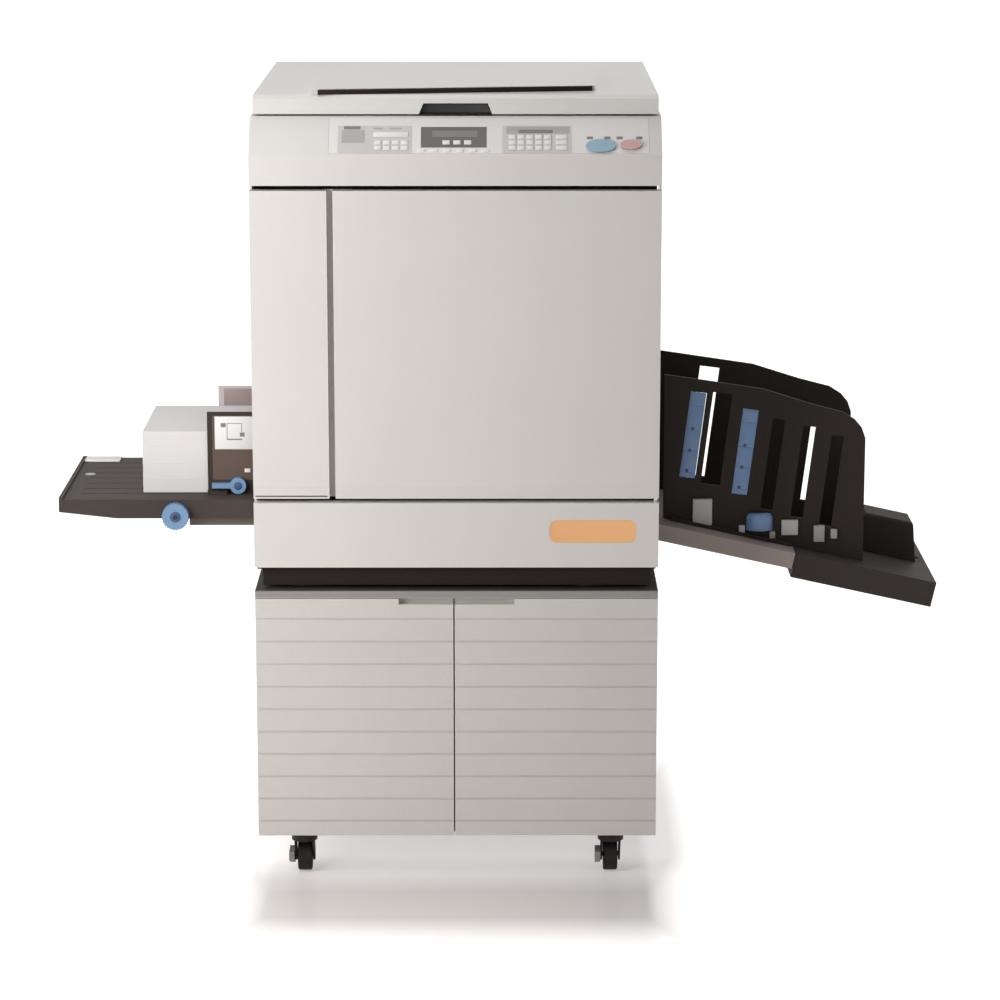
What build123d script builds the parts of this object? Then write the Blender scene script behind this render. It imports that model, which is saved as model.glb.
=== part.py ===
from build123d import *
import math
import os

# Digital duplicator on a two-door cabinet with castors.
# Millimetres. X to the receiving side, Y to the rear, Z up.
# The origin is on the floor, under the middle of the whole object's box.

# Body and stack of heights
body_width = 612.0
body_depth = 640.0
caster_height = 75.0
cabinet_height = 390.0
foot_height = 36.0
base_height = 100.0
base_gap = 6.0
door_height = 468.0
door_gap = 7.5
housing_height = 98.5
lid_gap = 3.0
lid_height = 36.0

# Sheets, walls and clearances
cover_wall = 3.0
sheet = 2.5
part_gap = 0.3
door_clearance = 1.0
door_to_carcass = 1.5
running_fit = 0.1

# Cabinet
cabinet_panel = 15.0
cabinet_top_panel = 12.0
cabinet_door_thickness = 18.0
cabinet_shelf_height = 175.0
cabinet_shelf_setback = 40.0
door_seam = 2.0
door_seam_offset = -4.0
groove_pitch = 35.7
groove_width = 3.0
groove_depth = 1.5
groove_start = 22.0
finger_recess_width = 88.0
finger_recess_height = 9.0
finger_recess_depth = 12.0

# Door hinges, shared by the cabinet doors and the front door
hinge_inset = 5.0
hinge_pin_radius = 2.5
hinge_pin_reach = 14.0
hinge_plate_length = 26.0
hinge_plate_thickness = 3.0

# Castors
caster_inset = 68.0
caster_setback = 43.0
caster_plate_size = 48.0
caster_plate_thickness = 3.0
caster_trail = 18.0
kingpin_radius = 5.0
crown_radius = 20.0
crown_height = 15.0
wheel_radius = 25.0
wheel_width = 22.0
axle_radius = 4.0
fork_leg = 3.0
fork_side_gap = 1.5
fork_neck_half = 12.0
fork_foot_half = 9.0
fork_foot_drop = 8.0
brake_lever_radius = 13.0
brake_lever_width = 8.0
brake_lever_reach = 30.0

# Feet and chassis
foot_radius = 27.0
foot_left_inset = 71.0
foot_right_inset = 109.0
foot_setback = 55.0
base_plate = 3.0
base_plate_inset = 4.0
skirt_height = 27.0
skirt_inset = 12.0
inner_plate_front_setback = 58.0
inner_plate_rear_setback = 78.0

# Front covers
front_cover_depth = 21.0
front_door_thickness = 20.0
front_door_wall = 4.0
front_door_hinge_rim = 12.0
front_lip_height = 20.0
front_lip_depth = 4.0
left_cover_width = 114.6
finger_gap = 9.2
badge_right_inset = 33.8
badge_width = 131.2
badge_lift = 38.6
badge_height = 35.1
badge_corner = 12.0
badge_depth = 1.0

# Air slots in the rear cover
vent_rows = 8
vent_pitch = 14.0
vent_height = 5.0
vent_length = 160.0
vent_lift = 330.0

# Paper path
path_y = 10.0
mouth_half_width = 175.0
feed_mouth_lift = 6.0
feed_mouth_height = 240.0
exit_mouth_height = 264.0

# Print drum
drum_offset = 20.0
drum_lift = 269.0
drum_radius = 95.0
drum_wall = 3.0
drum_length = 340.0
drum_end = 4.0
drum_shaft_radius = 10.0
drum_opening_half = 116.0
drum_opening_side = 4.0
drum_frame_plate = 4.0
drum_frame_half_width = 105.0
drum_front_setback = 35.0
drum_beam_half = 30.0
drum_beam_thickness = 8.0
drum_beam_clearance = 12.0
drum_rail_lip = 10.0
drum_rail_width = 15.0
drum_rail_lip_thickness = 6.0
drum_end_inset = 2.0
drum_lip_clearance = 5.0
drum_neck_half = 19.0
drum_frame_gap = 12.0
drum_frame_lift = 4.0
ink_bottle_radius = 35.0
ink_cap_length = 8.0
ink_drum_clearance = 13.0
ink_bottle_offset_x = 38.0
ink_bottle_offset_z = 38.0
pressure_roller_radius = 15.0
pressure_roller_shaft = 6.0
pressure_roller_nip = 0.4
pressure_roller_margin = 10.0

# Master unit, above the drum
master_width = 230.0
master_height = 92.0
master_length = 330.0
master_lift = 22.0
master_roll_radius = 28.0
master_rail_width = 16.0
master_rail_thickness = 4.0
master_face_overlap = 12.0
master_face_thickness = 6.0
master_wall = 4.0
master_floor = 8.0
master_end = 10.0
master_side_gap = 2.0
master_opening_gap = 1.0

# Drive and electrics
motor_radius = 38.0
motor_length = 60.0
motor_shaft_radius = 6.0
motor_inset = 116.0
motor_lift = 154.0
motor_shaft_reach = 20.0
pinion_setback = 8.0
board_width = 300.0
board_height = 180.0
board_thickness = 2.0
board_standoff = 12.0
board_offset = 60.0
board_drop = 80.0
board_pillar_inset = 10.0
board_pillar_radius = 3.0
board_chip_count = 4
board_chip_start = 40.0
board_chip_pitch = 60.0
board_chip_width = 34.0
board_chip_depth = 14.0
board_chip_lift = 50.0
board_chip_step = 20.0
inlet_width = 50.0
inlet_height = 28.0
inlet_depth = 24.0
inlet_clearance = 10.0
inlet_flange = 4.0
inlet_flange_thickness = 2.0
inlet_wall = 8.0
inlet_rim = 5.0
inlet_floor = 4.0
inlet_blade_pitch = 10.0
inlet_blade = 3.0
inlet_lift = 60.0
switch_length = 30.0
switch_width = 14.0
switch_body_depth = 18.0
switch_pivot_radius = 2.0
switch_pivot_depth = 8.0
switch_rise = 2.5
switch_taper = 4.0
switch_cheek = 4.0
switch_setback = 38.0
switch_lift = 60.0

# Scanner housing and control panel
slope_depth = 45.0
slope_rise = 53.0
housing_wall = 4.0
panel_thickness = 3.0
panel_left_inset = 118.0
panel_right_inset = 19.0
panel_margin = 3.0
lcd_offset_x = 2.3
lcd_width = 97.6
lcd_height = 37.0
lcd_slope_centre = 32.0
lcd_thickness = 2.0
lcd_recess = 0.6
start_key_inset = 91.0
start_key_width = 44.0
start_key_height = 22.0
start_key_slope = 15.5
stop_key_inset = 46.0
stop_key_width = 32.0
stop_key_height = 16.5
stop_key_slope = 17.5
key_depth = 7.0
key_proud = 3.5
key_clearance = 0.4
key_lift = 0.5
key_stem_margin = 7.0
key_hole_margin = 6.0
glass_half_width = 220.0
glass_front_setback = 85.0
glass_depth = 310.0
glass_thickness = 4.0
glass_lap = 8.0
scan_rod_radius = 4.0
scan_rod_spread = 100.0
scan_carriage_width = 40.0
scan_carriage_height = 22.0
scan_carriage_park = 20.0
scan_carriage_wall = 8.0
scan_carriage_end = 20.0
scan_carriage_side_gap = 10.0
scan_lift = 40.0

# Platen cover
lid_side_inset = 4.0
lid_front_setback = 45.0
lid_rear_setback = 35.0
lid_edge_height = 23.0
lid_deck_height = 28.0
lid_front_rise = 10.0
lid_wall = 4.0
lid_rear_rise = 4.0
raised_left_inset = 87.0
raised_right_inset = 93.0
raised_front_left = 10.0
raised_front_right = 68.0
raised_depth = 330.0
grip_top_width = 96.0
grip_bottom_width = 110.0
grip_height = 16.0
grip_depth = 14.0
pad_half_width = 222.0
pad_depth = 320.0
pad_thickness = 6.0
pad_rim = 8.0
pad_overlap = 5.0
lid_lug_spread = 220.0
lid_lug_width = 30.0
lid_axis_setback = 20.0
lid_axis_height = 14.0
lid_pin_radius = 4.0
lid_lug_radius = 11.0
lid_ear_thickness = 6.0
lid_ear_half = 9.0
lid_ear_cap = 8.0
lid_lug_lift = 2.0

# Feed side
feed_reach = 318.0
tray_lift = 66.0
tray_thickness = 30.0
tray_tip_length = 90.0
tray_tip_rise = 10.0
tray_rim_width = 6.0
tray_rim_height = 3.0
tray_half_width = 157.0
tray_inner_reach = 100.0
tray_wall = 3.0
tray_groove_count = 7
tray_groove_pitch = 38.0
tray_groove_width = 3.0
tray_groove_depth = 1.5
tray_groove_start = 30.0
tray_solid_margin = 10.0
elevator_reach = 116.0
elevator_inner_reach = 60.0
elevator_thickness = 15.7
elevator_half_width = 135.0
elevator_upright_thickness = 12.0
elevator_upright_height = 130.0
elevator_rod_radius = 5.0
elevator_rod_inset = 35.0
elevator_rod_offset = 47.0
elevator_rod_height = 300.0
paper_length = 297.0
paper_width = 210.0
paper_height = 98.0
paper_reach = 191.0
feed_guide_reach = 88.0
feed_guide_inner = 3.0
feed_guide_height = 130.0
feed_guide_thickness = 6.0
feed_guide_foot_depth = 18.0
feed_guide_foot_height = 6.0
feed_guide_foot_length = 31.0
feed_guide_inner_foot = 15.0
lever_reach = 40.0
lever_radius = 12.7
lever_height = 14.0
lever_width = 10.0
lever_arm_reach = 81.0
lever_arm_thickness = 8.0
lever_pivot_radius = 3.0
dial_reach = 135.0
dial_radius = 21.0
dial_width = 13.0
dial_shaft_radius = 4.0
dial_drop = 25.0
dial_flutes = 24
dial_flute_radius = 1.0
disposal_reach = 2.0
disposal_inner = 200.0
disposal_height = 95.0
disposal_half_width = 90.0
disposal_wall = 3.0
disposal_rail_depth = 15.0
disposal_rail_lip = 8.0
disposal_rail_overlap = 10.0
disposal_rail_rise = 20.0
disposal_clearance = 1.5
disposal_grip_half = 34.0
disposal_grip_height = 28.0
disposal_grip_drop = 12.0
disposal_grip_depth = 14.0
roller_radius = 18.0
roller_half_width = 30.0
roller_shaft_radius = 5.0
roller_lift = 0.5
pickup_inset = 80.0
feed_roller_inset = 131.0
cheek_gap = 40.0
cheek_thickness = 3.0
cheek_clearance = 5.0
feed_head_lift = 204.0
feed_head_height = 52.0
feed_head_inset = 56.0
feed_head_margin = 12.0
feed_bridge_width = 25.0
feed_bridge_height = 14.0
feed_head_side_gap = 2.0

# Receiving side
receive_reach = 447.0
receive_slope = 12.4
receive_lift = 29.0
receive_tray_length = 229.0
receive_tray_thickness = 26.0
receive_half_width = 158.0
receive_wall = 3.0
receive_hook = 15.0
receive_solid_length = 30.0
receive_seat_gap = 1.0
tray_seat_half = 120.0
extension_thickness = 40.0
extension_tongue = 21.5
extension_half_width = 154.0
extension_gap = 2.0
extension_tongue_start = 70.0
extension_overlap = 10.0
extension_slot_start = 25.0
extension_slot_end = 10.0
guide_spread = 107.0
guide_thickness = 5.0
guide_inner = 18.0
guide_outer = 335.0
guide_foot_depth = 12.0
guide_foot_height = 6.0
guide_foot_start = 30.0
guide_foot_end = 4.0
slot_lean = 7.0
slot_height = 148.0
arranger_width = 24.5
arranger_height = 137.0
arranger_thickness = 3.0
arranger_clearance = 1.0
arranger_pin_radius = 1.4
arranger_pin_reach = 6.0
arranger_pin_play = 0.4
stopper_start = 340.0
stopper_top_length = 80.0
stopper_foot_length = 98.0
stopper_height = 62.0
stopper_half_width = 35.0
stopper_rounding = 5.0
stopper_slot_half = 6.0
stopper_tongue = 5.0
stopper_slot_drop = 3.0

# Receiving guides, each point as distance from the body and height above the tray
guide_top = ((18, 227), (173, 204), (249, 180), (299, 167), (318, 155), (329, 142), (335, 125))
arranger_places = ((71.8, 197.8), (154.5, 170.7))
slot_places = ((110.0, 197.0, 31.0), (199.0, 156.0, 20.0), (247.0, 144.0, 20.0),
               (292.0, 129.0, 20.0))
window_places = ((103.0, 199.5, 32.0, 183.0), (286.5, 101.0, 33.0, 127.0))

# Places worked out from the sizes above
body_x = (feed_reach - receive_reach) / 2
left_x = body_x - body_width / 2
right_x = body_x + body_width / 2
front_y = -body_depth / 2
rear_y = body_depth / 2
cabinet_bottom = caster_height
cabinet_top = cabinet_bottom + cabinet_height
base_bottom = cabinet_top + foot_height
base_top = base_bottom + base_height
door_bottom = base_top + base_gap
door_top = door_bottom + door_height
housing_bottom = door_top + door_gap
housing_top = housing_bottom + housing_height
lid_bottom = housing_top + lid_gap
lid_top = lid_bottom + lid_height
cover_front_y = front_y + front_cover_depth
plate_front_y = front_y + inner_plate_front_setback
plate_rear_y = rear_y - inner_plate_rear_setback
inner_left_x = left_x + cover_wall
inner_right_x = right_x - cover_wall
drum_x = body_x + drum_offset
drum_height = base_bottom + drum_lift
motor_height = base_bottom + motor_lift
tray_top = base_bottom + tray_lift
receive_top = base_bottom + receive_lift
feed_head_bottom = base_bottom + feed_head_lift
feed_head_top = feed_head_bottom + feed_head_height
disposal_bottom = feed_head_top + disposal_rail_lip + part_gap
disposal_top = disposal_bottom + disposal_height
feed_mouth_bottom = base_bottom + feed_mouth_lift
feed_mouth_top = feed_mouth_bottom + feed_mouth_height
exit_mouth_top = base_bottom + exit_mouth_height


def block(x0, x1, y0, y1, z0, z1):
    """A box between two corners."""
    middle = ((x0 + x1) / 2, (y0 + y1) / 2, (z0 + z1) / 2)
    return Pos(*middle) * Box(abs(x1 - x0), abs(y1 - y0), abs(z1 - z0))


def rod_x(x0, x1, y, z, radius):
    """A round bar along X."""
    return Pos((x0 + x1) / 2, y, z) * Rot(0, 90, 0) * Cylinder(radius, x1 - x0)


def rod_y(x, y0, y1, z, radius):
    """A round bar along Y."""
    return Pos(x, (y0 + y1) / 2, z) * Rot(90, 0, 0) * Cylinder(radius, y1 - y0)


def rod_z(x, y, z0, z1, radius):
    """A round bar along Z."""
    return Pos(x, y, (z0 + z1) / 2) * Cylinder(radius, z1 - z0)


def prism_x(outline, x0, x1):
    """An outline of (y, z) points, drawn out along X."""
    wire = Polyline(*[(x0, y, z) for y, z in outline], close=True)
    return extrude(make_face(wire), amount=x1 - x0, dir=(1, 0, 0))


def prism_y(outline, y0, y1):
    """An outline of (x, z) points, drawn out along Y."""
    wire = Polyline(*[(x, y0, z) for x, z in outline], close=True)
    return extrude(make_face(wire), amount=y1 - y0, dir=(0, 1, 0))


def prism_z(outline, z0, z1):
    """An outline of (x, y) points, drawn out along Z."""
    wire = Polyline(*[(x, y, z0) for x, y in outline], close=True)
    return extrude(make_face(wire), amount=z1 - z0, dir=(0, 0, 1))


def round_upright(solid, x, y, radius):
    """Rounds the upright edge nearest to (x, y)."""
    middle = solid.bounding_box().center().Z
    edge = solid.edges().filter_by(Axis.Z).sort_by_distance((x, y, middle))[0]
    return fillet(edge, radius)


def save(name, *solids):
    """Writes one node's solids to its own file."""
    export_step(Compound(children=list(solids)), f"parts/{name}.step")


# Cabinet

cabinet_door_bottom = cabinet_bottom + part_gap
cabinet_door_top = cabinet_top - cabinet_top_panel - door_clearance
cabinet_door_back = front_y + cabinet_door_thickness
carcass_front = cabinet_door_back + door_to_carcass
hinge_plate_z = cabinet_bottom - hinge_plate_thickness


def cabinet_carcass():
    """Two sides, a floor, a back, a top and a shelf, each its own panel."""
    underside = cabinet_top - cabinet_top_panel
    left_inner = left_x + cabinet_panel
    right_inner = right_x - cabinet_panel
    back = rear_y - cabinet_panel
    floor_top = cabinet_bottom + cabinet_panel
    shelf_z = cabinet_bottom + cabinet_shelf_height
    return [
        block(left_x, left_inner, carcass_front, rear_y, cabinet_bottom, underside),
        block(right_inner, right_x, carcass_front, rear_y, cabinet_bottom, underside),
        block(left_inner, right_inner, carcass_front, back, cabinet_bottom, floor_top),
        block(left_inner, right_inner, back, rear_y, cabinet_bottom, underside),
        block(left_x, right_x, front_y, rear_y, underside, cabinet_top),
        block(left_inner, right_inner, carcass_front + cabinet_shelf_setback, back,
              shelf_z, shelf_z + cabinet_panel),
    ]


def cabinet_door(side):
    """A slab with pressed grooves, a finger recess and bores for its pins."""
    outer = body_x + side * body_width / 2
    seam = body_x + door_seam_offset + side * door_seam / 2
    door = block(outer, seam, front_y, cabinet_door_back, cabinet_door_bottom, cabinet_door_top)
    door = round_upright(door, outer, cabinet_door_back, hinge_inset)
    groove_z = cabinet_door_bottom + groove_start
    while groove_z + groove_width < cabinet_door_top - finger_recess_height:
        door -= block(outer, seam, front_y - 1, front_y + groove_depth,
                      groove_z, groove_z + groove_width)
        groove_z += groove_pitch
    recess_end = body_x + side * finger_recess_width
    door -= block(seam - side, recess_end, front_y - 1, front_y + finger_recess_depth,
                  cabinet_door_top - finger_recess_height, cabinet_door_top + 1)
    pin_x = outer - side * hinge_inset
    pin_y = cabinet_door_back - hinge_inset
    bore = hinge_pin_radius + running_fit
    door -= rod_z(pin_x, pin_y, cabinet_door_bottom - 1, cabinet_door_bottom + hinge_pin_reach, bore)
    door -= rod_z(pin_x, pin_y, cabinet_door_top - hinge_pin_reach, cabinet_door_top + 1, bore)
    return door


def cabinet_hinges(side):
    """The steel plate and pins that carry one cabinet door."""
    outer = body_x + side * body_width / 2
    pin_x = outer - side * hinge_inset
    pin_y = cabinet_door_back - hinge_inset
    plate_back = carcass_front + hinge_plate_length / 2
    plate = block(outer, outer - side * hinge_plate_length, pin_y - hinge_inset, plate_back,
                  hinge_plate_z, cabinet_bottom)
    lower = rod_z(pin_x, pin_y, hinge_plate_z, cabinet_bottom + hinge_pin_reach - 1, hinge_pin_radius)
    upper = rod_z(pin_x, pin_y, cabinet_door_top - hinge_pin_reach + 1,
                  cabinet_top - cabinet_top_panel, hinge_pin_radius)
    return [plate + lower, upper]


# Castors

caster_plate_bottom = cabinet_bottom - caster_plate_thickness
crown_top = caster_plate_bottom - 0.5
crown_bottom = crown_top - crown_height
fork_inner = wheel_width / 2 + fork_side_gap
fork_outer = fork_inner + fork_leg


def caster_place(side, end):
    """The kingpin's X and Y for one corner."""
    x = body_x + side * (body_width / 2 - caster_inset)
    y = end * (body_depth / 2 - caster_setback)
    return x, y


def caster_plate(side, end):
    """A mounting plate under the cabinet floor, with its kingpin."""
    x, y = caster_place(side, end)
    half = caster_plate_size / 2
    plate = block(x - half, x + half, y - half, y + half, caster_plate_bottom, cabinet_bottom)
    return plate + rod_z(x, y, crown_bottom + 1, cabinet_bottom, kingpin_radius)


def caster_fork(side, end, braked):
    """The swivelling fork with its axle."""
    x, y = caster_place(side, end)
    fork = rod_z(x, y, crown_bottom, crown_top, crown_radius)
    axle_y = y + caster_trail
    leg = [
        (y - fork_neck_half, crown_top - 2), (y + fork_neck_half, crown_top - 2),
        (y + fork_neck_half + 3, crown_bottom), (axle_y + fork_foot_half, wheel_radius),
        (axle_y + fork_foot_half - 3, wheel_radius - fork_foot_drop),
        (axle_y - fork_foot_half + 3, wheel_radius - fork_foot_drop),
        (axle_y - fork_foot_half, wheel_radius), (y - fork_neck_half - 1, crown_bottom),
    ]
    fork += prism_x(leg, x - fork_outer, x - fork_inner)
    fork += prism_x(leg, x + fork_inner, x + fork_outer)
    axle_end = x - fork_outer
    if braked:
        axle_end -= brake_lever_width + part_gap
    fork += rod_x(axle_end, x + fork_outer, axle_y, wheel_radius, axle_radius)
    return fork - rod_z(x, y, crown_bottom - 1, crown_top + 1, kingpin_radius + running_fit)


def caster_wheel(side, end):
    """The wheel, with rounded tread edges and a bore for the axle."""
    x, y = caster_place(side, end)
    axle_y = y + caster_trail
    half = wheel_width / 2
    wheel = rod_x(x - half, x + half, axle_y, wheel_radius, wheel_radius)
    wheel = fillet(wheel.edges().filter_by(GeomType.CIRCLE), 3)
    return wheel - rod_x(x - half - 1, x + half + 1, axle_y, wheel_radius, axle_radius + running_fit)


def brake_lever(side):
    """A foot lever on the axle end of a front castor."""
    x, y = caster_place(side, -1)
    axle_y = y + caster_trail
    x1 = x - fork_outer - part_gap
    x0 = x1 - brake_lever_width
    lever = rod_x(x0, x1, axle_y, wheel_radius, brake_lever_radius)
    lever += block(x0, x1, axle_y - brake_lever_reach, axle_y,
                   wheel_radius - 2, wheel_radius + brake_lever_radius)
    return lever - rod_x(x0 - 1, x1 + 1, axle_y, wheel_radius, axle_radius + running_fit)


# Machine base, feet and chassis

def machine_feet():
    """Four rubber feet between the cabinet top and the base plate."""
    feet = []
    for x in (left_x + foot_left_inset, right_x - foot_right_inset):
        for y in (front_y + foot_setback, rear_y - foot_setback):
            feet.append(rod_z(x, y, cabinet_top, base_bottom - base_plate, foot_radius))
    return feet


def drum_rail(side):
    """One rail that the drum unit slides in, from inner plate to inner plate."""
    outer = drum_x + side * (drum_beam_half + drum_rail_width)
    wall = drum_x + side * (drum_beam_half + part_gap)
    lip = drum_x + side * (drum_beam_half - drum_rail_lip)
    rail = block(wall, outer, plate_front_y + sheet, plate_rear_y, drum_lip_bottom, drum_beam_top)
    rail += block(lip, outer, plate_front_y + sheet, plate_rear_y,
                  drum_lip_bottom, drum_beam_bottom - part_gap)
    return rail


drum_lip_bottom = drum_height + drum_radius + drum_lip_clearance
drum_beam_bottom = drum_lip_bottom + drum_rail_lip_thickness + part_gap
drum_beam_top = drum_beam_bottom + drum_beam_thickness
drum_opening_bottom = drum_height - drum_radius - drum_opening_side
drum_opening_top = drum_beam_top + drum_beam_clearance
master_bottom = drum_opening_top + master_lift
pressure_roller_z = drum_height - drum_radius - pressure_roller_nip - pressure_roller_radius
board_y = plate_rear_y + sheet + board_standoff
motor_x = right_x - motor_inset
elevator_rod_x = left_x + elevator_rod_inset
elevator_side = elevator_half_width + elevator_rod_offset


def front_frame():
    """The front inner frame: a sill, two uprights, a cross bar and a header."""
    y0 = plate_front_y
    y1 = plate_front_y + sheet
    left = drum_x - drum_opening_half
    right = drum_x + drum_opening_half
    header_bottom = master_bottom + master_height + master_opening_gap
    sill = block(inner_left_x, inner_right_x, y0, y1, base_bottom, drum_opening_bottom)
    sill -= rod_y(drum_x, y0 - 1, y1 + 1, pressure_roller_z, pressure_roller_shaft + running_fit)
    return [
        sill,
        block(inner_left_x, left, y0, y1, drum_opening_bottom, header_bottom),
        block(right, inner_right_x, y0, y1, drum_opening_bottom, header_bottom),
        block(left, right, y0, y1, drum_opening_top, master_bottom - master_opening_gap),
        block(inner_left_x, inner_right_x, y0, y1, header_bottom, housing_bottom),
    ]


def chassis_frame():
    """Base plate with its skirt, inner plates, rails and posts, as separate pieces."""
    floor = block(left_x + base_plate_inset, right_x - base_plate_inset,
                  front_y + base_plate_inset, rear_y - base_plate_inset,
                  base_bottom - base_plate, base_bottom)
    skirt_low = base_bottom - base_plate - skirt_height
    skirt = block(left_x + skirt_inset, right_x - skirt_inset,
                  front_y + skirt_inset, rear_y - skirt_inset, skirt_low, base_bottom - base_plate)
    inner = skirt_inset + sheet
    skirt -= block(left_x + inner, right_x - inner, front_y + inner, rear_y - inner,
                   skirt_low - 1, base_bottom)
    rear = block(inner_left_x, inner_right_x, plate_rear_y, plate_rear_y + sheet,
                 base_bottom, housing_bottom)
    rear -= rod_y(drum_x, plate_rear_y - 1, plate_rear_y + sheet + 1, pressure_roller_z,
                  pressure_roller_shaft + running_fit)
    rear -= rod_y(motor_x, plate_rear_y - 1, plate_rear_y + sheet + 1, motor_height,
                  motor_shaft_radius + 1)
    posts = []
    for side in (-1, 1):
        posts.append(rod_z(elevator_rod_x, path_y + side * elevator_side,
                           base_bottom, base_bottom + elevator_rod_height, elevator_rod_radius))
    master_rails = []
    for side in (-1, 1):
        outer = drum_x + side * (master_width / 2 + master_side_gap)
        master_rails.append(block(outer, outer - side * master_rail_width,
                                  plate_front_y + sheet, plate_rear_y,
                                  master_bottom - part_gap - master_rail_thickness,
                                  master_bottom - part_gap))
    rails = [drum_rail(-1), drum_rail(1)] + master_rails
    return [floor, skirt, rear, tray_seat()] + front_frame() + rails + posts


def base_front_cover():
    """The fixed panel under the front door, open to the rear, with a seat for a badge."""
    cover = block(left_x, right_x, front_y, cover_front_y, base_bottom, base_top)
    cover -= block(left_x + cover_wall, right_x - cover_wall, front_y + cover_wall,
                   cover_front_y + 1, base_bottom + cover_wall, base_top - cover_wall)
    badge_low = base_bottom + badge_lift
    seat = block(right_x - badge_right_inset - badge_width, right_x - badge_right_inset,
                 front_y - 1, front_y + badge_depth, badge_low, badge_low + badge_height)
    return cover - fillet(seat.edges().filter_by(Axis.Y), badge_corner)


def front_lip(x0, x1):
    """The wedge that leaves the foot of a front cover turned in."""
    outline = [
        (front_y - 1, door_bottom - 1), (front_y + front_lip_depth, door_bottom - 1),
        (front_y + front_lip_depth, door_bottom), (front_y, door_bottom + front_lip_height),
        (front_y - 1, door_bottom + front_lip_height),
    ]
    return prism_x(outline, x0 - 1, x1 + 1)


left_cover_right = left_x + left_cover_width
front_door_left = left_cover_right + finger_gap
front_door_back = front_y + front_door_thickness


def left_front_cover():
    """The narrow fixed panel beside the door, with the floor of the finger gap."""
    cover = block(left_x, left_cover_right, front_y, cover_front_y, door_bottom, door_top)
    cover -= block(left_x + cover_wall, left_cover_right - cover_wall, front_y + cover_wall,
                   cover_front_y + 1, door_bottom + cover_wall, door_top - cover_wall)
    cover -= front_lip(left_x, left_cover_right)
    return cover + block(left_cover_right - cover_wall, front_door_left + 3 * finger_gap,
                         cover_front_y, cover_front_y + cover_wall, door_bottom, door_top)


def front_door():
    """The large front door, a shell with a deep rim at its hinge."""
    door = block(front_door_left, right_x, front_y, front_door_back, door_bottom, door_top)
    door = round_upright(door, right_x, front_door_back, hinge_inset)
    door -= block(front_door_left + front_door_wall, right_x - front_door_hinge_rim,
                  front_y + front_door_wall, front_door_back + 1,
                  door_bottom + front_door_wall, door_top - front_door_wall)
    door -= front_lip(front_door_left, right_x)
    pin_x = right_x - hinge_inset
    pin_y = front_door_back - hinge_inset
    bore = hinge_pin_radius + running_fit
    door -= rod_z(pin_x, pin_y, door_bottom - 1, door_bottom + hinge_pin_reach, bore)
    door -= rod_z(pin_x, pin_y, door_top - hinge_pin_reach, door_top + 1, bore)
    return door


def front_door_pins():
    """A pin up from the base panel and one down from the scanner housing."""
    pin_x = right_x - hinge_inset
    pin_y = front_door_back - hinge_inset
    return [
        rod_z(pin_x, pin_y, base_top, door_bottom + hinge_pin_reach - 1, hinge_pin_radius),
        rod_z(pin_x, pin_y, door_top - hinge_pin_reach + 1, housing_bottom, hinge_pin_radius),
    ]


def left_side_cover():
    """The feed side's cover, with the paper's mouth and the used-master box's window."""
    cover = block(left_x, inner_left_x, cover_front_y, rear_y - cover_wall,
                  base_bottom, housing_bottom)
    cover -= block(left_x - 1, inner_left_x + 1, path_y - mouth_half_width,
                   path_y + mouth_half_width, feed_mouth_bottom, feed_mouth_top)
    half = disposal_half_width + disposal_clearance
    return cover - block(left_x - 1, inner_left_x + 1, path_y - half, path_y + half,
                         disposal_bottom - disposal_clearance, disposal_top + disposal_clearance)


def right_side_cover():
    """The receiving side's cover, with the exit and the switch opening."""
    cover = block(inner_right_x, right_x, cover_front_y, rear_y - cover_wall,
                  base_bottom, housing_bottom)
    cover -= block(inner_right_x - 1, right_x + 1, path_y - mouth_half_width,
                   path_y + mouth_half_width, base_bottom - 1, exit_mouth_top)
    return cover - block(inner_right_x - 1, right_x + 1,
                         switch_y - switch_width / 2 - key_clearance,
                         switch_y + switch_width / 2 + key_clearance,
                         switch_z - switch_length / 2 - key_clearance,
                         switch_z + switch_length / 2 + key_clearance)


def rear_cover():
    """The back, with rows of air slots and the hole for the mains inlet."""
    cover = block(left_x, right_x, rear_y - cover_wall, rear_y, base_bottom, housing_bottom)
    for row in range(vent_rows):
        z = base_bottom + vent_lift + row * vent_pitch
        for side in (-1, 1):
            middle = body_x + side * body_width / 4
            cover -= block(middle - vent_length / 2, middle + vent_length / 2,
                           rear_y - cover_wall - 1, rear_y + 1, z, z + vent_height)
    return cover - block(inlet_x - inlet_width / 2, inlet_x + inlet_width / 2,
                         rear_y - cover_wall - 1, rear_y + 1,
                         inlet_z - inlet_height / 2, inlet_z + inlet_height / 2)


# Drum unit, rollers and drive

inlet_x = motor_x + motor_radius + inlet_clearance + inlet_width / 2
inlet_z = base_bottom + inlet_lift
switch_y = rear_y - switch_setback
switch_z = base_bottom + switch_lift
drum_y0 = path_y - drum_length / 2
drum_y1 = path_y + drum_length / 2
drum_frame_front = front_y + drum_front_setback
drum_frame_rear = drum_y1 + drum_frame_gap
ink_x = drum_x + ink_bottle_offset_x
ink_z = drum_height + ink_bottle_offset_z


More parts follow.
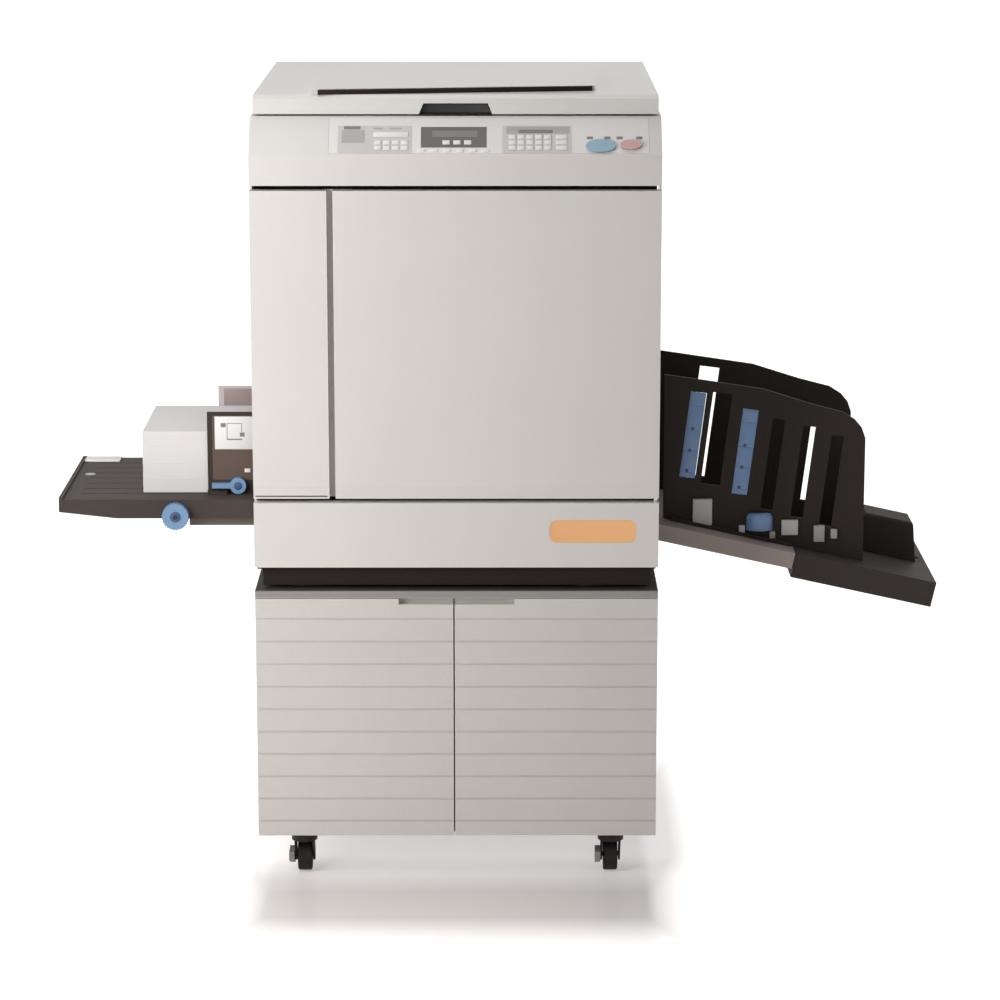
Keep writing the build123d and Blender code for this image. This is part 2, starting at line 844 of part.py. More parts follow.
def drum_frame():
    """The frame that the drum turns in and slides out with."""
    end_radius = drum_radius - drum_end_inset
    front = block(drum_x - drum_frame_half_width, drum_x + drum_frame_half_width,
                  drum_frame_front, drum_frame_front + drum_frame_plate,
                  drum_opening_bottom + drum_frame_lift, drum_beam_top)
    rear = rod_y(drum_x, drum_frame_rear, drum_frame_rear + drum_frame_plate,
                 drum_height, end_radius)
    rear += block(drum_x - drum_neck_half, drum_x + drum_neck_half,
                  drum_frame_rear, drum_frame_rear + drum_frame_plate,
                  drum_height + end_radius / 2, drum_beam_top)
    beam = block(drum_x - drum_beam_half, drum_x + drum_beam_half,
                 drum_frame_front, drum_frame_rear + drum_frame_plate,
                 drum_beam_bottom, drum_beam_top)
    shaft = rod_y(drum_x, drum_frame_front, drum_frame_rear + drum_frame_plate,
                  drum_height, drum_shaft_radius)
    return front + rear + beam + shaft


def print_drum():
    """The hollow drum with its two end discs, bored for the shaft."""
    drum = rod_y(drum_x, drum_y0, drum_y1, drum_height, drum_radius)
    drum -= rod_y(drum_x, drum_y0 + drum_end, drum_y1 - drum_end, drum_height,
                  drum_radius - drum_wall)
    return drum - rod_y(drum_x, drum_y0 - 1, drum_y1 + 1, drum_height,
                        drum_shaft_radius + running_fit)


def ink_bottle():
    """The ink cartridge, seated on the drum unit's front plate."""
    cap_end = drum_y0 - ink_drum_clearance
    body_end = cap_end - ink_cap_length
    body = rod_y(ink_x, drum_frame_front + drum_frame_plate, body_end, ink_z, ink_bottle_radius)
    return body + rod_y(ink_x, body_end, cap_end, ink_z, ink_bottle_radius / 2)


def pressure_roller():
    """The rubber roller that presses the paper to the drum, on its shaft."""
    roller = rod_y(drum_x, drum_y0 + pressure_roller_margin, drum_y1 - pressure_roller_margin,
                   pressure_roller_z, pressure_roller_radius)
    return roller + rod_y(drum_x, plate_front_y, plate_rear_y + sheet,
                          pressure_roller_z, pressure_roller_shaft)


def master_unit():
    """The master-making unit: a box with its roll and a front plate."""
    half = master_width / 2
    y0 = plate_front_y - 2
    y1 = y0 + master_length
    top = master_bottom + master_height
    box = block(drum_x - half, drum_x + half, y0, y1, master_bottom, top)
    pocket = block(drum_x - half + master_wall, drum_x + half - master_wall,
                   y0 + master_end, y1 - master_end, master_bottom + master_floor, top + 1)
    roll = rod_y(drum_x - half / 2, y0 + master_end, y1 - master_end,
                 master_bottom + master_end + master_roll_radius, master_roll_radius)
    face = block(drum_x - half - master_face_overlap, drum_x + half + master_face_overlap,
                 y0 - master_face_thickness, y0, master_bottom - master_face_overlap / 2,
                 top + master_face_overlap / 2)
    return box - pocket + roll + face


def drive_motor():
    """The main motor behind the rear inner plate, its shaft through the plate."""
    y0 = plate_rear_y + sheet
    motor = rod_y(motor_x, y0, y0 + motor_length, motor_height, motor_radius)
    shaft_end = plate_rear_y - motor_shaft_reach
    motor += rod_y(motor_x, shaft_end, y0, motor_height, motor_shaft_radius)
    return motor + rod_y(motor_x, shaft_end, plate_rear_y - pinion_setback, motor_height,
                         3 * motor_shaft_radius)


def control_boards():
    """A circuit board on stand-offs behind the rear inner plate, with its parts."""
    left = body_x - board_width / 2 - board_offset
    low = housing_bottom - board_height - board_drop
    inset = board_pillar_inset
    boards = block(left, left + board_width, board_y, board_y + board_thickness,
                   low, low + board_height)
    for x in (left + inset, left + board_width - inset):
        for z in (low + inset, low + board_height - inset):
            boards += rod_y(x, plate_rear_y + sheet, board_y, z, board_pillar_radius)
    face = board_y + board_thickness
    for index in range(board_chip_count):
        x = left + board_chip_start + index * board_chip_pitch
        z = low + board_chip_lift
        boards += block(x, x + board_chip_width, face, face + board_chip_depth,
                        z, z + board_chip_step * (index + 2))
    return boards


def power_inlet():
    """The mains inlet: a flanged socket in the rear cover with three blades."""
    half_w = inlet_width / 2
    half_h = inlet_height / 2
    back = rear_y - inlet_depth
    socket = block(inlet_x - half_w + part_gap, inlet_x + half_w - part_gap, back, rear_y,
                   inlet_z - half_h + part_gap, inlet_z + half_h - part_gap)
    socket += block(inlet_x - half_w - inlet_flange, inlet_x + half_w + inlet_flange,
                    rear_y - cover_wall - inlet_flange_thickness, rear_y - cover_wall,
                    inlet_z - half_h - inlet_flange, inlet_z + half_h + inlet_flange)
    socket -= block(inlet_x - half_w + inlet_wall, inlet_x + half_w - inlet_wall,
                    back + inlet_floor, rear_y + 1,
                    inlet_z - half_h + inlet_rim, inlet_z + half_h - inlet_rim)
    for offset in (-inlet_blade_pitch, 0, inlet_blade_pitch):
        x = inlet_x + offset
        socket += block(x - inlet_blade / 2, x + inlet_blade / 2, back + inlet_floor / 2,
                        rear_y - inlet_floor, inlet_z - inlet_blade, inlet_z + inlet_blade)
    return socket


def power_switch():
    """The rocker of the main switch, bored for its pivot."""
    half = switch_length / 2
    low = switch_z - half
    high = switch_z + half
    outline = [
        (right_x - switch_body_depth, low + switch_taper), (right_x - 1, low + 1),
        (right_x + switch_rise, low + 1), (right_x + 0.2, switch_z),
        (right_x + switch_rise - 1.5, high - 1), (right_x - 1, high - 1),
        (right_x - switch_body_depth, high - switch_taper),
    ]
    half_w = switch_width / 2 - 0.5
    rocker = prism_y(outline, switch_y - half_w, switch_y + half_w)
    return rocker - rod_y(right_x - switch_pivot_depth, switch_y - half_w - 1, switch_y + half_w + 1,
                          switch_z, switch_pivot_radius + running_fit)


def switch_cradle():
    """Two cheeks on the right cover, and the pin that the rocker turns on."""
    half_w = switch_width / 2
    half = switch_length / 2
    pieces = rod_y(right_x - switch_pivot_depth, switch_y - half_w - 2, switch_y + half_w + 2,
                   switch_z, switch_pivot_radius)
    for side in (-1, 1):
        pieces += block(right_x - switch_body_depth, inner_right_x,
                        switch_y + side * half_w, switch_y + side * (half_w + switch_cheek),
                        switch_z - half, switch_z + half)
    return pieces


# Scanner housing, control panel and keys

slope_length = math.hypot(slope_depth, slope_rise)
slope_angle = math.degrees(math.atan2(slope_rise, slope_depth))
slope_bottom = housing_top - slope_rise
panel_left = panel_left_inset - body_width / 2
panel_right = body_width / 2 - panel_right_inset
glass_y0 = front_y + glass_front_setback
glass_y1 = glass_y0 + glass_depth


def on_slope(solid):
    """Puts a piece drawn at x, distance up the slope and height on the slope."""
    return Pos(body_x, front_y, slope_bottom) * Rot(slope_angle, 0, 0) * solid


def slope_plate(x0, x1, s0, s1, n0, n1):
    """A box on the slope: x from the body's middle, s up the slope, n outwards."""
    return on_slope(block(x0, x1, s0, s1, n0, n1))


def slope_oval(x, s, width, height, n0, n1):
    """An oval key shape on the slope."""
    face = Pos(x, s, n0) * Ellipse(width / 2, height / 2)
    return on_slope(extrude(face, amount=n1 - n0, dir=(0, 0, 1)))


def housing_outline(inset):
    """The housing seen from the side, drawn in by a wall."""
    shift = inset / math.sin(math.radians(slope_angle)) - inset / math.tan(math.radians(slope_angle))
    lift = inset / math.cos(math.radians(slope_angle)) - inset * math.tan(math.radians(slope_angle))
    return [
        (front_y + inset, housing_bottom + inset), (rear_y - inset, housing_bottom + inset),
        (rear_y - inset, housing_top - inset), (front_y + slope_depth + shift, housing_top - inset),
        (front_y + inset, slope_bottom - lift),
    ]


def scanner_housing():
    """The scanner's casing with the sloping front that holds the panel."""
    housing = prism_x(housing_outline(0), left_x, right_x)
    housing -= prism_x(housing_outline(housing_wall), left_x + housing_wall, right_x - housing_wall)
    glass_x0 = body_x - glass_half_width
    glass_x1 = body_x + glass_half_width
    housing -= block(glass_x0, glass_x1, glass_y0, glass_y1,
                     housing_top - glass_thickness / 2, housing_top + 1)
    housing -= block(glass_x0 + glass_lap, glass_x1 - glass_lap, glass_y0 + glass_lap,
                     glass_y1 - glass_lap, housing_top - 2 * housing_wall, housing_top + 1)
    housing -= slope_plate(panel_left, panel_right, panel_margin,
                           slope_length - panel_margin, -panel_thickness, 1)
    for x, s, width, height in key_places:
        housing -= slope_oval(x, s, width - key_hole_margin, height - key_hole_margin,
                              -2 * housing_wall, 1)
    return housing


key_places = (
    (body_width / 2 - start_key_inset, start_key_slope, start_key_width, start_key_height),
    (body_width / 2 - stop_key_inset, stop_key_slope, stop_key_width, stop_key_height),
)


def control_panel():
    """The panel plate in the slope, with a seat for the display and the key wells."""
    gap = part_gap
    panel = slope_plate(panel_left + gap, panel_right - gap, panel_margin + gap,
                        slope_length - panel_margin - gap, -panel_thickness, 0)
    panel -= slope_plate(-lcd_offset_x - lcd_width / 2, -lcd_offset_x + lcd_width / 2,
                         lcd_slope_centre - lcd_height / 2, lcd_slope_centre + lcd_height / 2,
                         -lcd_thickness - lcd_recess, 1)
    for x, s, width, height in key_places:
        panel -= slope_oval(x, s, width + 2 * key_clearance, height + 2 * key_clearance,
                            -panel_thickness - 1, 1)
    return panel


def lcd_display():
    """The display window, set in the panel."""
    return slope_plate(-lcd_offset_x - lcd_width / 2, -lcd_offset_x + lcd_width / 2,
                       lcd_slope_centre - lcd_height / 2, lcd_slope_centre + lcd_height / 2,
                       -lcd_thickness - lcd_recess, -lcd_recess)


def oval_key(x, s, width, height):
    """A sprung key: an oval cap above a stem that passes the housing."""
    skirt = slope_oval(x, s, width, height, key_lift, key_proud)
    stem = slope_oval(x, s, width - key_stem_margin, height - key_stem_margin,
                      -key_depth, key_proud)
    return skirt + stem


def platen_glass():
    """The glass that originals lie on."""
    gap = part_gap
    return block(body_x - glass_half_width + gap, body_x + glass_half_width - gap,
                 glass_y0 + gap, glass_y1 - gap, housing_top - glass_thickness / 2, housing_top)


scan_z = housing_bottom + scan_lift
scan_y = (glass_y0 + glass_y1) / 2


def scanner_rails():
    """Two rods across the scanner that the carriage runs on."""
    rods = []
    for side in (-1, 1):
        rods.append(rod_x(left_x + housing_wall, right_x - housing_wall,
                          scan_y + side * scan_rod_spread, scan_z, scan_rod_radius))
    return rods


def scan_carriage():
    """The lamp and mirror carriage, parked at the feed side."""
    x0 = body_x - glass_half_width + scan_carriage_park
    half = glass_depth / 2 - scan_carriage_side_gap
    inner = half - scan_carriage_end
    wall = scan_carriage_wall
    body = block(x0, x0 + scan_carriage_width, scan_y - half, scan_y + half,
                 scan_z - wall, scan_z - wall + scan_carriage_height)
    body -= block(x0 + wall, x0 + scan_carriage_width - wall, scan_y - inner, scan_y + inner,
                  scan_z + wall, scan_z + scan_carriage_height)
    for side in (-1, 1):
        body -= rod_x(x0 - 1, x0 + scan_carriage_width + 1, scan_y + side * scan_rod_spread,
                      scan_z, scan_rod_radius + running_fit)
    return body


# Platen cover

lid_front = front_y + lid_front_setback
lid_rear = rear_y - lid_rear_setback
lid_axis_y = rear_y - lid_axis_setback
lid_axis_z = housing_top + lid_axis_height
lid_deck = lid_bottom + lid_deck_height
lid_half_width = body_width / 2 - lid_side_inset


def platen_cover():
    """The lid: a hollow shell, a raised plate with a slanted front, and its lugs."""
    edge = lid_bottom + lid_edge_height
    outline = [
        (lid_front, lid_bottom), (lid_rear, lid_bottom), (lid_rear, edge + lid_rear_rise),
        (lid_rear - lid_front_rise, lid_deck), (lid_front + lid_front_rise, lid_deck),
        (lid_front, edge),
    ]
    lid = prism_x(outline, body_x - lid_half_width, body_x + lid_half_width)
    lid -= block(body_x - lid_half_width + lid_wall, body_x + lid_half_width - lid_wall,
                 lid_front + grip_depth + lid_wall, lid_rear - lid_wall,
                 lid_bottom - 1, lid_deck - lid_wall)
    raised_left = body_x - lid_half_width + raised_left_inset
    raised_right = body_x + lid_half_width - raised_right_inset
    raised = [
        (raised_left, lid_front + raised_front_left),
        (raised_right, lid_front + raised_front_right),
        (raised_right, lid_front + raised_depth),
        (raised_left, lid_front + raised_depth),
    ]
    lid += prism_z(raised, lid_deck - 1, lid_top)
    grip = [
        (body_x - grip_bottom_width / 2, lid_bottom - 1),
        (body_x + grip_bottom_width / 2, lid_bottom - 1),
        (body_x + grip_top_width / 2, lid_bottom + grip_height),
        (body_x - grip_top_width / 2, lid_bottom + grip_height),
    ]
    lid -= prism_y(grip, lid_front - 1, lid_front + grip_depth)
    for side in (-1, 1):
        lid += lid_lug(side)
    return lid


def lid_lug(side):
    """One hinge lug behind the lid, bored for its pin."""
    x = body_x + side * lid_lug_spread
    half = lid_lug_width / 2
    lug = rod_x(x - half, x + half, lid_axis_y, lid_axis_z, lid_lug_radius)
    lug += block(x - half, x + half, lid_rear - 2, lid_axis_y,
                 lid_bottom + lid_lug_lift, lid_axis_z + lid_lug_radius)
    return lug - rod_x(x - half - 1, x + half + 1, lid_axis_y, lid_axis_z,
                       lid_pin_radius + running_fit)


def lid_hinge(side):
    """The ears on the housing at each side of a lug, with the pin through them."""
    x = body_x + side * lid_lug_spread
    inner = lid_lug_width / 2 + part_gap
    outer = inner + lid_ear_thickness
    hinge = rod_x(x - outer, x + outer, lid_axis_y, lid_axis_z, lid_pin_radius)
    for ear in (-1, 1):
        hinge += block(x + ear * inner, x + ear * outer, lid_axis_y - lid_ear_half,
                       lid_axis_y + lid_ear_half, housing_top, lid_axis_z + lid_ear_cap)
    return hinge


def original_pad():
    """The pad that presses the original to the glass, on the frame that holds it to the lid."""
    y0 = glass_y0 - pad_overlap
    y1 = y0 + pad_depth
    low = housing_top + part_gap
    inner = pad_half_width - pad_rim
    pad = block(body_x - pad_half_width, body_x + pad_half_width, y0, y1, low, lid_deck - lid_wall)
    return pad - block(body_x - inner, body_x + inner, y0 + pad_rim, y1 - pad_rim,
                       low + pad_thickness, lid_deck)


# Feed side

tray_bottom = tray_top - tray_thickness
elevator_top = tray_bottom - part_gap
elevator_bottom = elevator_top - elevator_thickness


def feed_elevator():
    """The carrier under the feed tray, guided on two upright posts."""
    arm = block(left_x - elevator_reach, left_x + elevator_inner_reach,
                path_y - elevator_half_width, path_y + elevator_half_width,
                elevator_bottom, elevator_top)
    inner = left_x + 2 * cover_wall
    upright_in = elevator_side - elevator_upright_thickness / 2
    upright_out = elevator_side + elevator_upright_thickness / 2
    arm += block(inner, left_x + elevator_inner_reach, path_y - upright_out,
                 path_y + upright_out, elevator_bottom, elevator_top)
    for side in (-1, 1):
        y = path_y + side * elevator_side
        arm += block(inner, left_x + elevator_inner_reach, path_y + side * upright_in,
                     path_y + side * upright_out, elevator_bottom,
                     elevator_bottom + elevator_upright_height)
        arm -= rod_z(elevator_rod_x, y, elevator_bottom - 1,
                     elevator_bottom + elevator_upright_height + 1,
                     elevator_rod_radius + running_fit)
    return arm


def feed_tray():
    """The tray that the paper lies on: grooved, hollow below, its tip thinner and rimmed."""
    x0 = left_x - feed_reach
    x1 = left_x + tray_inner_reach
    y0 = path_y - tray_half_width
    y1 = path_y + tray_half_width
    tray = block(x0, x1, y0, y1, tray_bottom, tray_top)
    hollow_end = left_x - elevator_reach - tray_solid_margin
    tray -= block(x0 + tray_wall, hollow_end, y0 + tray_wall, y1 - tray_wall,
                  tray_bottom - 1, tray_top - 2 * tray_wall)
    for index in range(tray_groove_count):
        y = path_y + (index - (tray_groove_count - 1) / 2) * tray_groove_pitch
        tray -= block(x0 + tray_groove_start, x1 + 1, y - tray_groove_width / 2,
                      y + tray_groove_width / 2, tray_top - tray_groove_depth, tray_top + 1)
    tip = [
        (x0 - 1, tray_bottom - 1), (x0 + tray_tip_length, tray_bottom - 1),
        (x0 + tray_tip_length, tray_bottom), (x0, tray_bottom + tray_tip_rise),
        (x0 - 1, tray_bottom + tray_tip_rise),
    ]
    tray -= prism_y(tip, y0 - 1, y1 + 1)
    tray += block(x0, x0 + tray_rim_width, y0, y1, tray_top - 1, tray_top + tray_rim_height)
    dial_x = left_x - dial_reach
    return tray + rod_y(dial_x, y0 - dial_width - 2, y0, tray_top - dial_drop, dial_shaft_radius)


def paper_stack():
    """A stack of sheets on the tray, its inner end inside the machine."""
    x0 = left_x - paper_reach
    return block(x0, x0 + paper_length, path_y - paper_width / 2, path_y + paper_width / 2,
                 tray_top, tray_top + paper_height)


feed_guide_y = paper_width / 2 + part_gap


def feed_guide(side):
    """A side guide that stands on the tray beside the paper."""
    x0 = left_x - feed_guide_reach
    x1 = left_x + feed_guide_inner
    near = path_y + side * feed_guide_y
    far = path_y + side * (feed_guide_y + feed_guide_thickness)
    foot = path_y + side * (feed_guide_y + feed_guide_foot_depth)
    guide = block(x0, x1, near, far, tray_top, tray_top + feed_guide_height)
    guide += block(x0, x0 + feed_guide_foot_length, near, foot,
                   tray_top, tray_top + feed_guide_foot_height)
    guide += block(left_x - feed_guide_inner_foot, x1, near, foot,
                   tray_top, tray_top + feed_guide_foot_height)
    if side < 0:
        guide += rod_y(left_x - lever_reach, far - part_gap - lever_width, far,
                       tray_top + lever_height, lever_pivot_radius)
    return guide


def guide_lock_lever():
    """The lever on the front guide that locks both guides."""
    x = left_x - lever_reach
    z = tray_top + lever_height
    y1 = path_y - feed_guide_y - feed_guide_thickness - part_gap
    y0 = y1 - lever_width
    lever = rod_y(x, y0, y1, z, lever_radius)
    lever += block(left_x - lever_arm_reach, x, y0, y1,
                   z - lever_arm_thickness / 2, z + lever_arm_thickness / 2)
    return lever - rod_y(x, y0 - 1, y1 + 1, z, lever_pivot_radius + running_fit)


def position_dial():
    """The knurled dial in front of the tray."""
    x = left_x - dial_reach
    z = tray_top - dial_drop
    y1 = path_y - tray_half_width - part_gap
    y0 = y1 - dial_width
    dial = rod_y(x, y0, y1, z, dial_radius)
    for index in range(dial_flutes):
        angle = 2 * math.pi * index / dial_flutes
        dial -= rod_y(x + dial_radius * math.cos(angle), y0 - 1, y1 + 1,
                      z + dial_radius * math.sin(angle), dial_flute_radius)
    return dial - rod_y(x, y0 - 1, y1 + 1, z, dial_shaft_radius + running_fit)


def disposal_box():
    """The box for used masters, open at its inner end, with a grip sunk in its face."""
    x0 = left_x - disposal_reach
    x1 = left_x + disposal_inner
    y0 = path_y - disposal_half_width
    y1 = path_y + disposal_half_width
    wall = disposal_wall
    box = block(x0, x1, y0, y1, disposal_bottom, disposal_top)
    box -= block(x0 + wall, x1 + 1, y0 + wall, y1 - wall, disposal_bottom + wall, disposal_top - wall)
    grip_top = disposal_top - disposal_grip_drop
    grip_low = grip_top - disposal_grip_height
    box += block(x0, x0 + disposal_grip_depth, path_y - disposal_grip_half,
                 path_y + disposal_grip_half, grip_low, grip_top)
    return box - block(x0 - 1, x0 + disposal_grip_depth - wall, path_y - disposal_grip_half + wall,
                       path_y + disposal_grip_half - wall, grip_low + wall, grip_top - wall)


roller_z = tray_top + paper_height + roller_lift + roller_radius
pickup_x = left_x + pickup_inset
feed_roller_x = left_x + feed_roller_inset
cheek_bottom = tray_top + paper_height + cheek_clearance


def feed_head():
    """The bridge over the feed rollers, with their cheeks and the box's rails."""
    x0 = left_x + feed_head_inset
    x1 = feed_roller_x + roller_radius + feed_head_margin
    bridge = x0 + feed_bridge_width
    rail_start = inner_left_x + feed_head_side_gap
    rail_end = left_x + disposal_inner
    rail_bottom = feed_head_top - 1
    head = block(x0, x1, path_y - cheek_gap - cheek_thickness, path_y + cheek_gap + cheek_thickness,
                 feed_head_bottom, feed_head_top)
    for side in (-1, 1):
        near = path_y + side * cheek_gap
        far = path_y + side * (cheek_gap + cheek_thickness)
        head += block(x0, x1, near, far, cheek_bottom, feed_head_bottom)
    head += block(x0, bridge, plate_front_y + sheet, plate_rear_y,
                  feed_head_top - feed_bridge_height, feed_head_top)
    for side in (-1, 1):
        wall = path_y + side * (disposal_half_width + part_gap)
        outer = path_y + side * (disposal_half_width + disposal_rail_depth)
        lip = path_y + side * (disposal_half_width - disposal_rail_overlap)
        head += block(rail_start, rail_end, wall, outer, rail_bottom,
                      disposal_bottom + disposal_rail_rise)
        head += block(rail_start, rail_end, lip, outer, rail_bottom, disposal_bottom - part_gap)
    for x in (pickup_x, feed_roller_x):
        head -= rod_y(x, path_y - cheek_gap - cheek_thickness - 1,
                      path_y + cheek_gap + cheek_thickness + 1, roller_z,
                      roller_shaft_radius + running_fit)
    return head


def paper_roller(x):
    """A rubber roller on its own shaft, held in the cheeks."""
    roller = rod_y(x, path_y - roller_half_width, path_y + roller_half_width,
                   roller_z, roller_radius)
    end = cheek_gap + cheek_thickness
    return roller + rod_y(x, path_y - end, path_y + end, roller_z, roller_shaft_radius)


# Receiving side

def down_slope(solid):
    """Puts a piece drawn at u down the slope, y, and w above the tray's top."""
    return Pos(right_x, 0, receive_top) * Rot(0, receive_slope, 0) * solid


def slope_block(u0, u1, y0, y1, w0, w1):
    """A box on the receiving slope, y measured from the paper's middle."""
    return down_slope(block(u0, u1, path_y + y0, path_y + y1, w0, w1))


extension_end = receive_reach / math.cos(math.radians(receive_slope))
tongue_top = -receive_wall - part_gap
tongue_bottom = tongue_top - extension_tongue


def receiving_tray():
    """The fixed part of the receiving tray, hollow for the extension."""
    half = receive_half_width
    tray = slope_block(-receive_hook, receive_tray_length, -half, half, -receive_tray_thickness, 0)
    return tray - slope_block(receive_solid_length, receive_tray_length + 1,
                              -half + receive_wall, half - receive_wall,
                              -receive_tray_thickness - 1, -receive_wall)


def tray_seat():
    """The wedge on the base plate that carries the receiving tray's inner end."""
    slope = math.radians(receive_slope)
    x1 = inner_right_x - receive_seat_gap
    x0 = right_x - receive_hook + receive_seat_gap

    def underside(x):
        run = x - right_x
        return receive_top - receive_tray_thickness / math.cos(slope) - run * math.tan(slope)

    outline = [(x0, base_bottom), (x1, base_bottom), (x1, underside(x1)), (x0, underside(x0))]
    return prism_y(outline, path_y - tray_seat_half, path_y + tray_seat_half)


def tray_extension():
    """The sliding end of the receiving tray, with its tongue and stopper slot."""
    half = extension_half_width
    start = receive_tray_length + extension_gap
    extension = slope_block(extension_tongue_start, start + extension_overlap, -half, half,
                            tongue_bottom, tongue_top)
    extension += slope_block(start, extension_end, -half, half, -extension_thickness, 0)
    slot = stopper_slot_half + part_gap
    return extension - slope_block(start + extension_slot_start, extension_end - extension_slot_end,
                                   -slot, slot, -stopper_tongue - stopper_slot_drop, 1)


def guide_outline():
    """The receiving guide seen from the front, its foot just above the tray."""
    slope = math.tan(math.radians(receive_slope))
    lift = part_gap / math.cos(math.radians(receive_slope))
    start = receive_top - guide_inner * slope + lift
    end = receive_top - guide_outer * slope + lift
    points = [(right_x + dx, receive_top + rise) for dx, rise in reversed(guide_top)]
    return points + [(right_x + guide_inner, start), (right_x + guide_outer, end)]


def leaning_slot(dx, rise, width, height, y0, y1, margin):
    """A slot through a guide that leans away from the body at its top."""
    low = -height / 2 - margin
    high = height / 2 + margin
    half = width / 2 + margin
    drop = height / 2 * math.cos(math.radians(slot_lean))
    shift = height / 2 * math.sin(math.radians(slot_lean))
    place = Pos(right_x + dx - shift, 0, receive_top + rise - drop) * Rot(0, slot_lean, 0)
    return place * block(-half, half, y0, y1, low, high)


def receiving_guide(side):
    """A tall guide plate on a foot: slots in the front one, two windows in the rear one."""
    near = path_y + side * (guide_spread - guide_thickness / 2)
    far = path_y + side * (guide_spread + guide_thickness / 2)
    low = min(near, far)
    high = max(near, far)
    guide = prism_y(guide_outline(), low, high)
    if side > 0:
        for dx, rise, width, height in window_places:
            guide -= leaning_slot(dx, rise, width, height, low - 1, high + 1, 0)
    else:
        for dx, rise, width in slot_places:
            guide -= leaning_slot(dx, rise, width, slot_height, low - 1, high + 1, 0)
        for dx, rise in arranger_places:
            guide -= leaning_slot(dx, rise, arranger_width, arranger_height,
                                  low - 1, high + 1, arranger_clearance)
            guide -= arranger_pins(dx, rise, arranger_pin_radius + running_fit, arranger_pin_play)
    foot = path_y + side * (guide_spread + guide_foot_depth)
    guide += slope_block(guide_foot_start, receive_tray_length - guide_foot_end,
                         side * guide_spread, foot - path_y, 0, guide_foot_height)
    return guide


def arranger_pins(dx, rise, radius, extra):
    """The pivot at both ends of an arranger, along its leaning middle line."""
    half = arranger_height / 2 + arranger_pin_reach + extra
    drop = arranger_height / 2 * math.cos(math.radians(slot_lean))
    shift = arranger_height / 2 * math.sin(math.radians(slot_lean))
    middle = Pos(right_x + dx - shift, path_y - guide_spread, receive_top + rise - drop)
    return middle * Rot(0, slot_lean, 0) * Cylinder(radius, 2 * half)


def arranger(dx, rise):
    """A paper arranger: a leaning strip in four segments that turns on its pins."""
    y = path_y - guide_spread
    half = arranger_thickness / 2
    strip = leaning_slot(dx, rise, arranger_width, arranger_height, y - half, y + half, 0)
    return strip + arranger_pins(dx, rise, arranger_pin_radius, 0)


def paper_stopper():
    """The block at the tray's end that stops the sheets, with its tongue."""
    outline = [
        (stopper_start, part_gap), (stopper_start + stopper_foot_length, part_gap),
        (stopper_start + stopper_top_length, stopper_height), (stopper_start, stopper_height),
    ]
    wedge = prism_y(outline, path_y - stopper_half_width, path_y + stopper_half_width)
    wedge = fillet(wedge.edges().group_by(Axis.Z)[-1], stopper_rounding)
    tongue = slope_block(stopper_start, stopper_start + stopper_top_length,
                         -stopper_slot_half, stopper_slot_half, -stopper_tongue, 1)
    return down_slope(wedge) + tongue


sides = {"left": -1, "right": 1}
ends = {"front": -1, "rear": 1}


def write_cabinet():
    """The cabinet, its doors and castors."""
    save("cabinet_carcass", *cabinet_carcass())
    for side_name, side in sides.items():
        save(f"cabinet_door_{side_name}", cabinet_door(side))
        save(f"brake_lever_{side_name}", brake_lever(side))
        for end_name, end in ends.items():
            save(f"caster_fork_{end_name}_{side_name}", caster_fork(side, end, end < 0))
            save(f"caster_wheel_{end_name}_{side_name}", caster_wheel(side, end))
    save("caster_plates", *[caster_plate(side, end) for side in sides.values()
                            for end in ends.values()])


def write_body():
    """The machine's feet, chassis, covers and front door."""
    save("machine_feet", *machine_feet())
    save("chassis_frame", *chassis_frame())
    save("base_front_cover", base_front_cover())
    save("left_front_cover", left_front_cover())
    save("left_side_cover", left_side_cover())
    save("right_side_cover", right_side_cover())
    save("rear_cover", rear_cover())
    save("front_door", front_door())
    save("hinge_pins", *cabinet_hinges(-1), *cabinet_hinges(1), *front_door_pins(),
         lid_hinge(-1), lid_hinge(1), switch_cradle())


def write_works():
    """The drum unit, rollers, master unit, drive and electrics."""
    save("drum_frame", drum_frame())
    save("print_drum", print_drum())
    save("ink_bottle", ink_bottle())
    save("pressure_roller", pressure_roller())
    save("master_unit", master_unit())
    save("drive_motor", drive_motor())
    save("control_boards", control_boards())
    save("power_inlet", power_inlet())
    save("power_switch", power_switch())


def write_scanner():
    """The scanner, its panel and keys, and the lid."""
    save("scanner_housing", scanner_housing())
    save("control_panel", control_panel())
    save("lcd_display", lcd_display())
    save("start_key", oval_key(*key_places[0]))
    save("stop_key", oval_key(*key_places[1]))
    save("platen_glass", platen_glass())
    save("scanner_rails", *scanner_rails())
    save("scan_carriage", scan_carriage())
    save("platen_cover", platen_cover())
    save("original_pad", original_pad())


def write_feed_side():
    """The feed tray, its guides, the paper and the feed rollers."""
    save("feed_elevator", feed_elevator())
    save("feed_tray", feed_tray())
    save("paper_stack", paper_stack())
    save("feed_guide_front", feed_guide(-1))
    save("feed_guide_rear", feed_guide(1))
    save("guide_lock_lever", guide_lock_lever())
    save("position_dial", position_dial())
    save("disposal_box", disposal_box())
    save("feed_head", feed_head())
    save("pickup_roller", paper_roller(pickup_x))
    save("feed_roller", paper_roller(feed_roller_x))


def write_receiving_side():
    """The receiving tray, its extension, guides, arrangers and stopper."""
    save("receiving_tray", receiving_tray())
    save("tray_extension", tray_extension())
    save("receiving_guide_front", receiving_guide(-1))
    save("receiving_guide_rear", receiving_guide(1))
    save("arranger_left", arranger(*arranger_places[0]))
    save("arranger_right", arranger(*arranger_places[1]))
    save("paper_stopper", paper_stopper())


os.makedirs("parts", exist_ok=True)
write_cabinet()
write_body()
write_works()
write_scanner()
write_feed_side()
write_receiving_side()
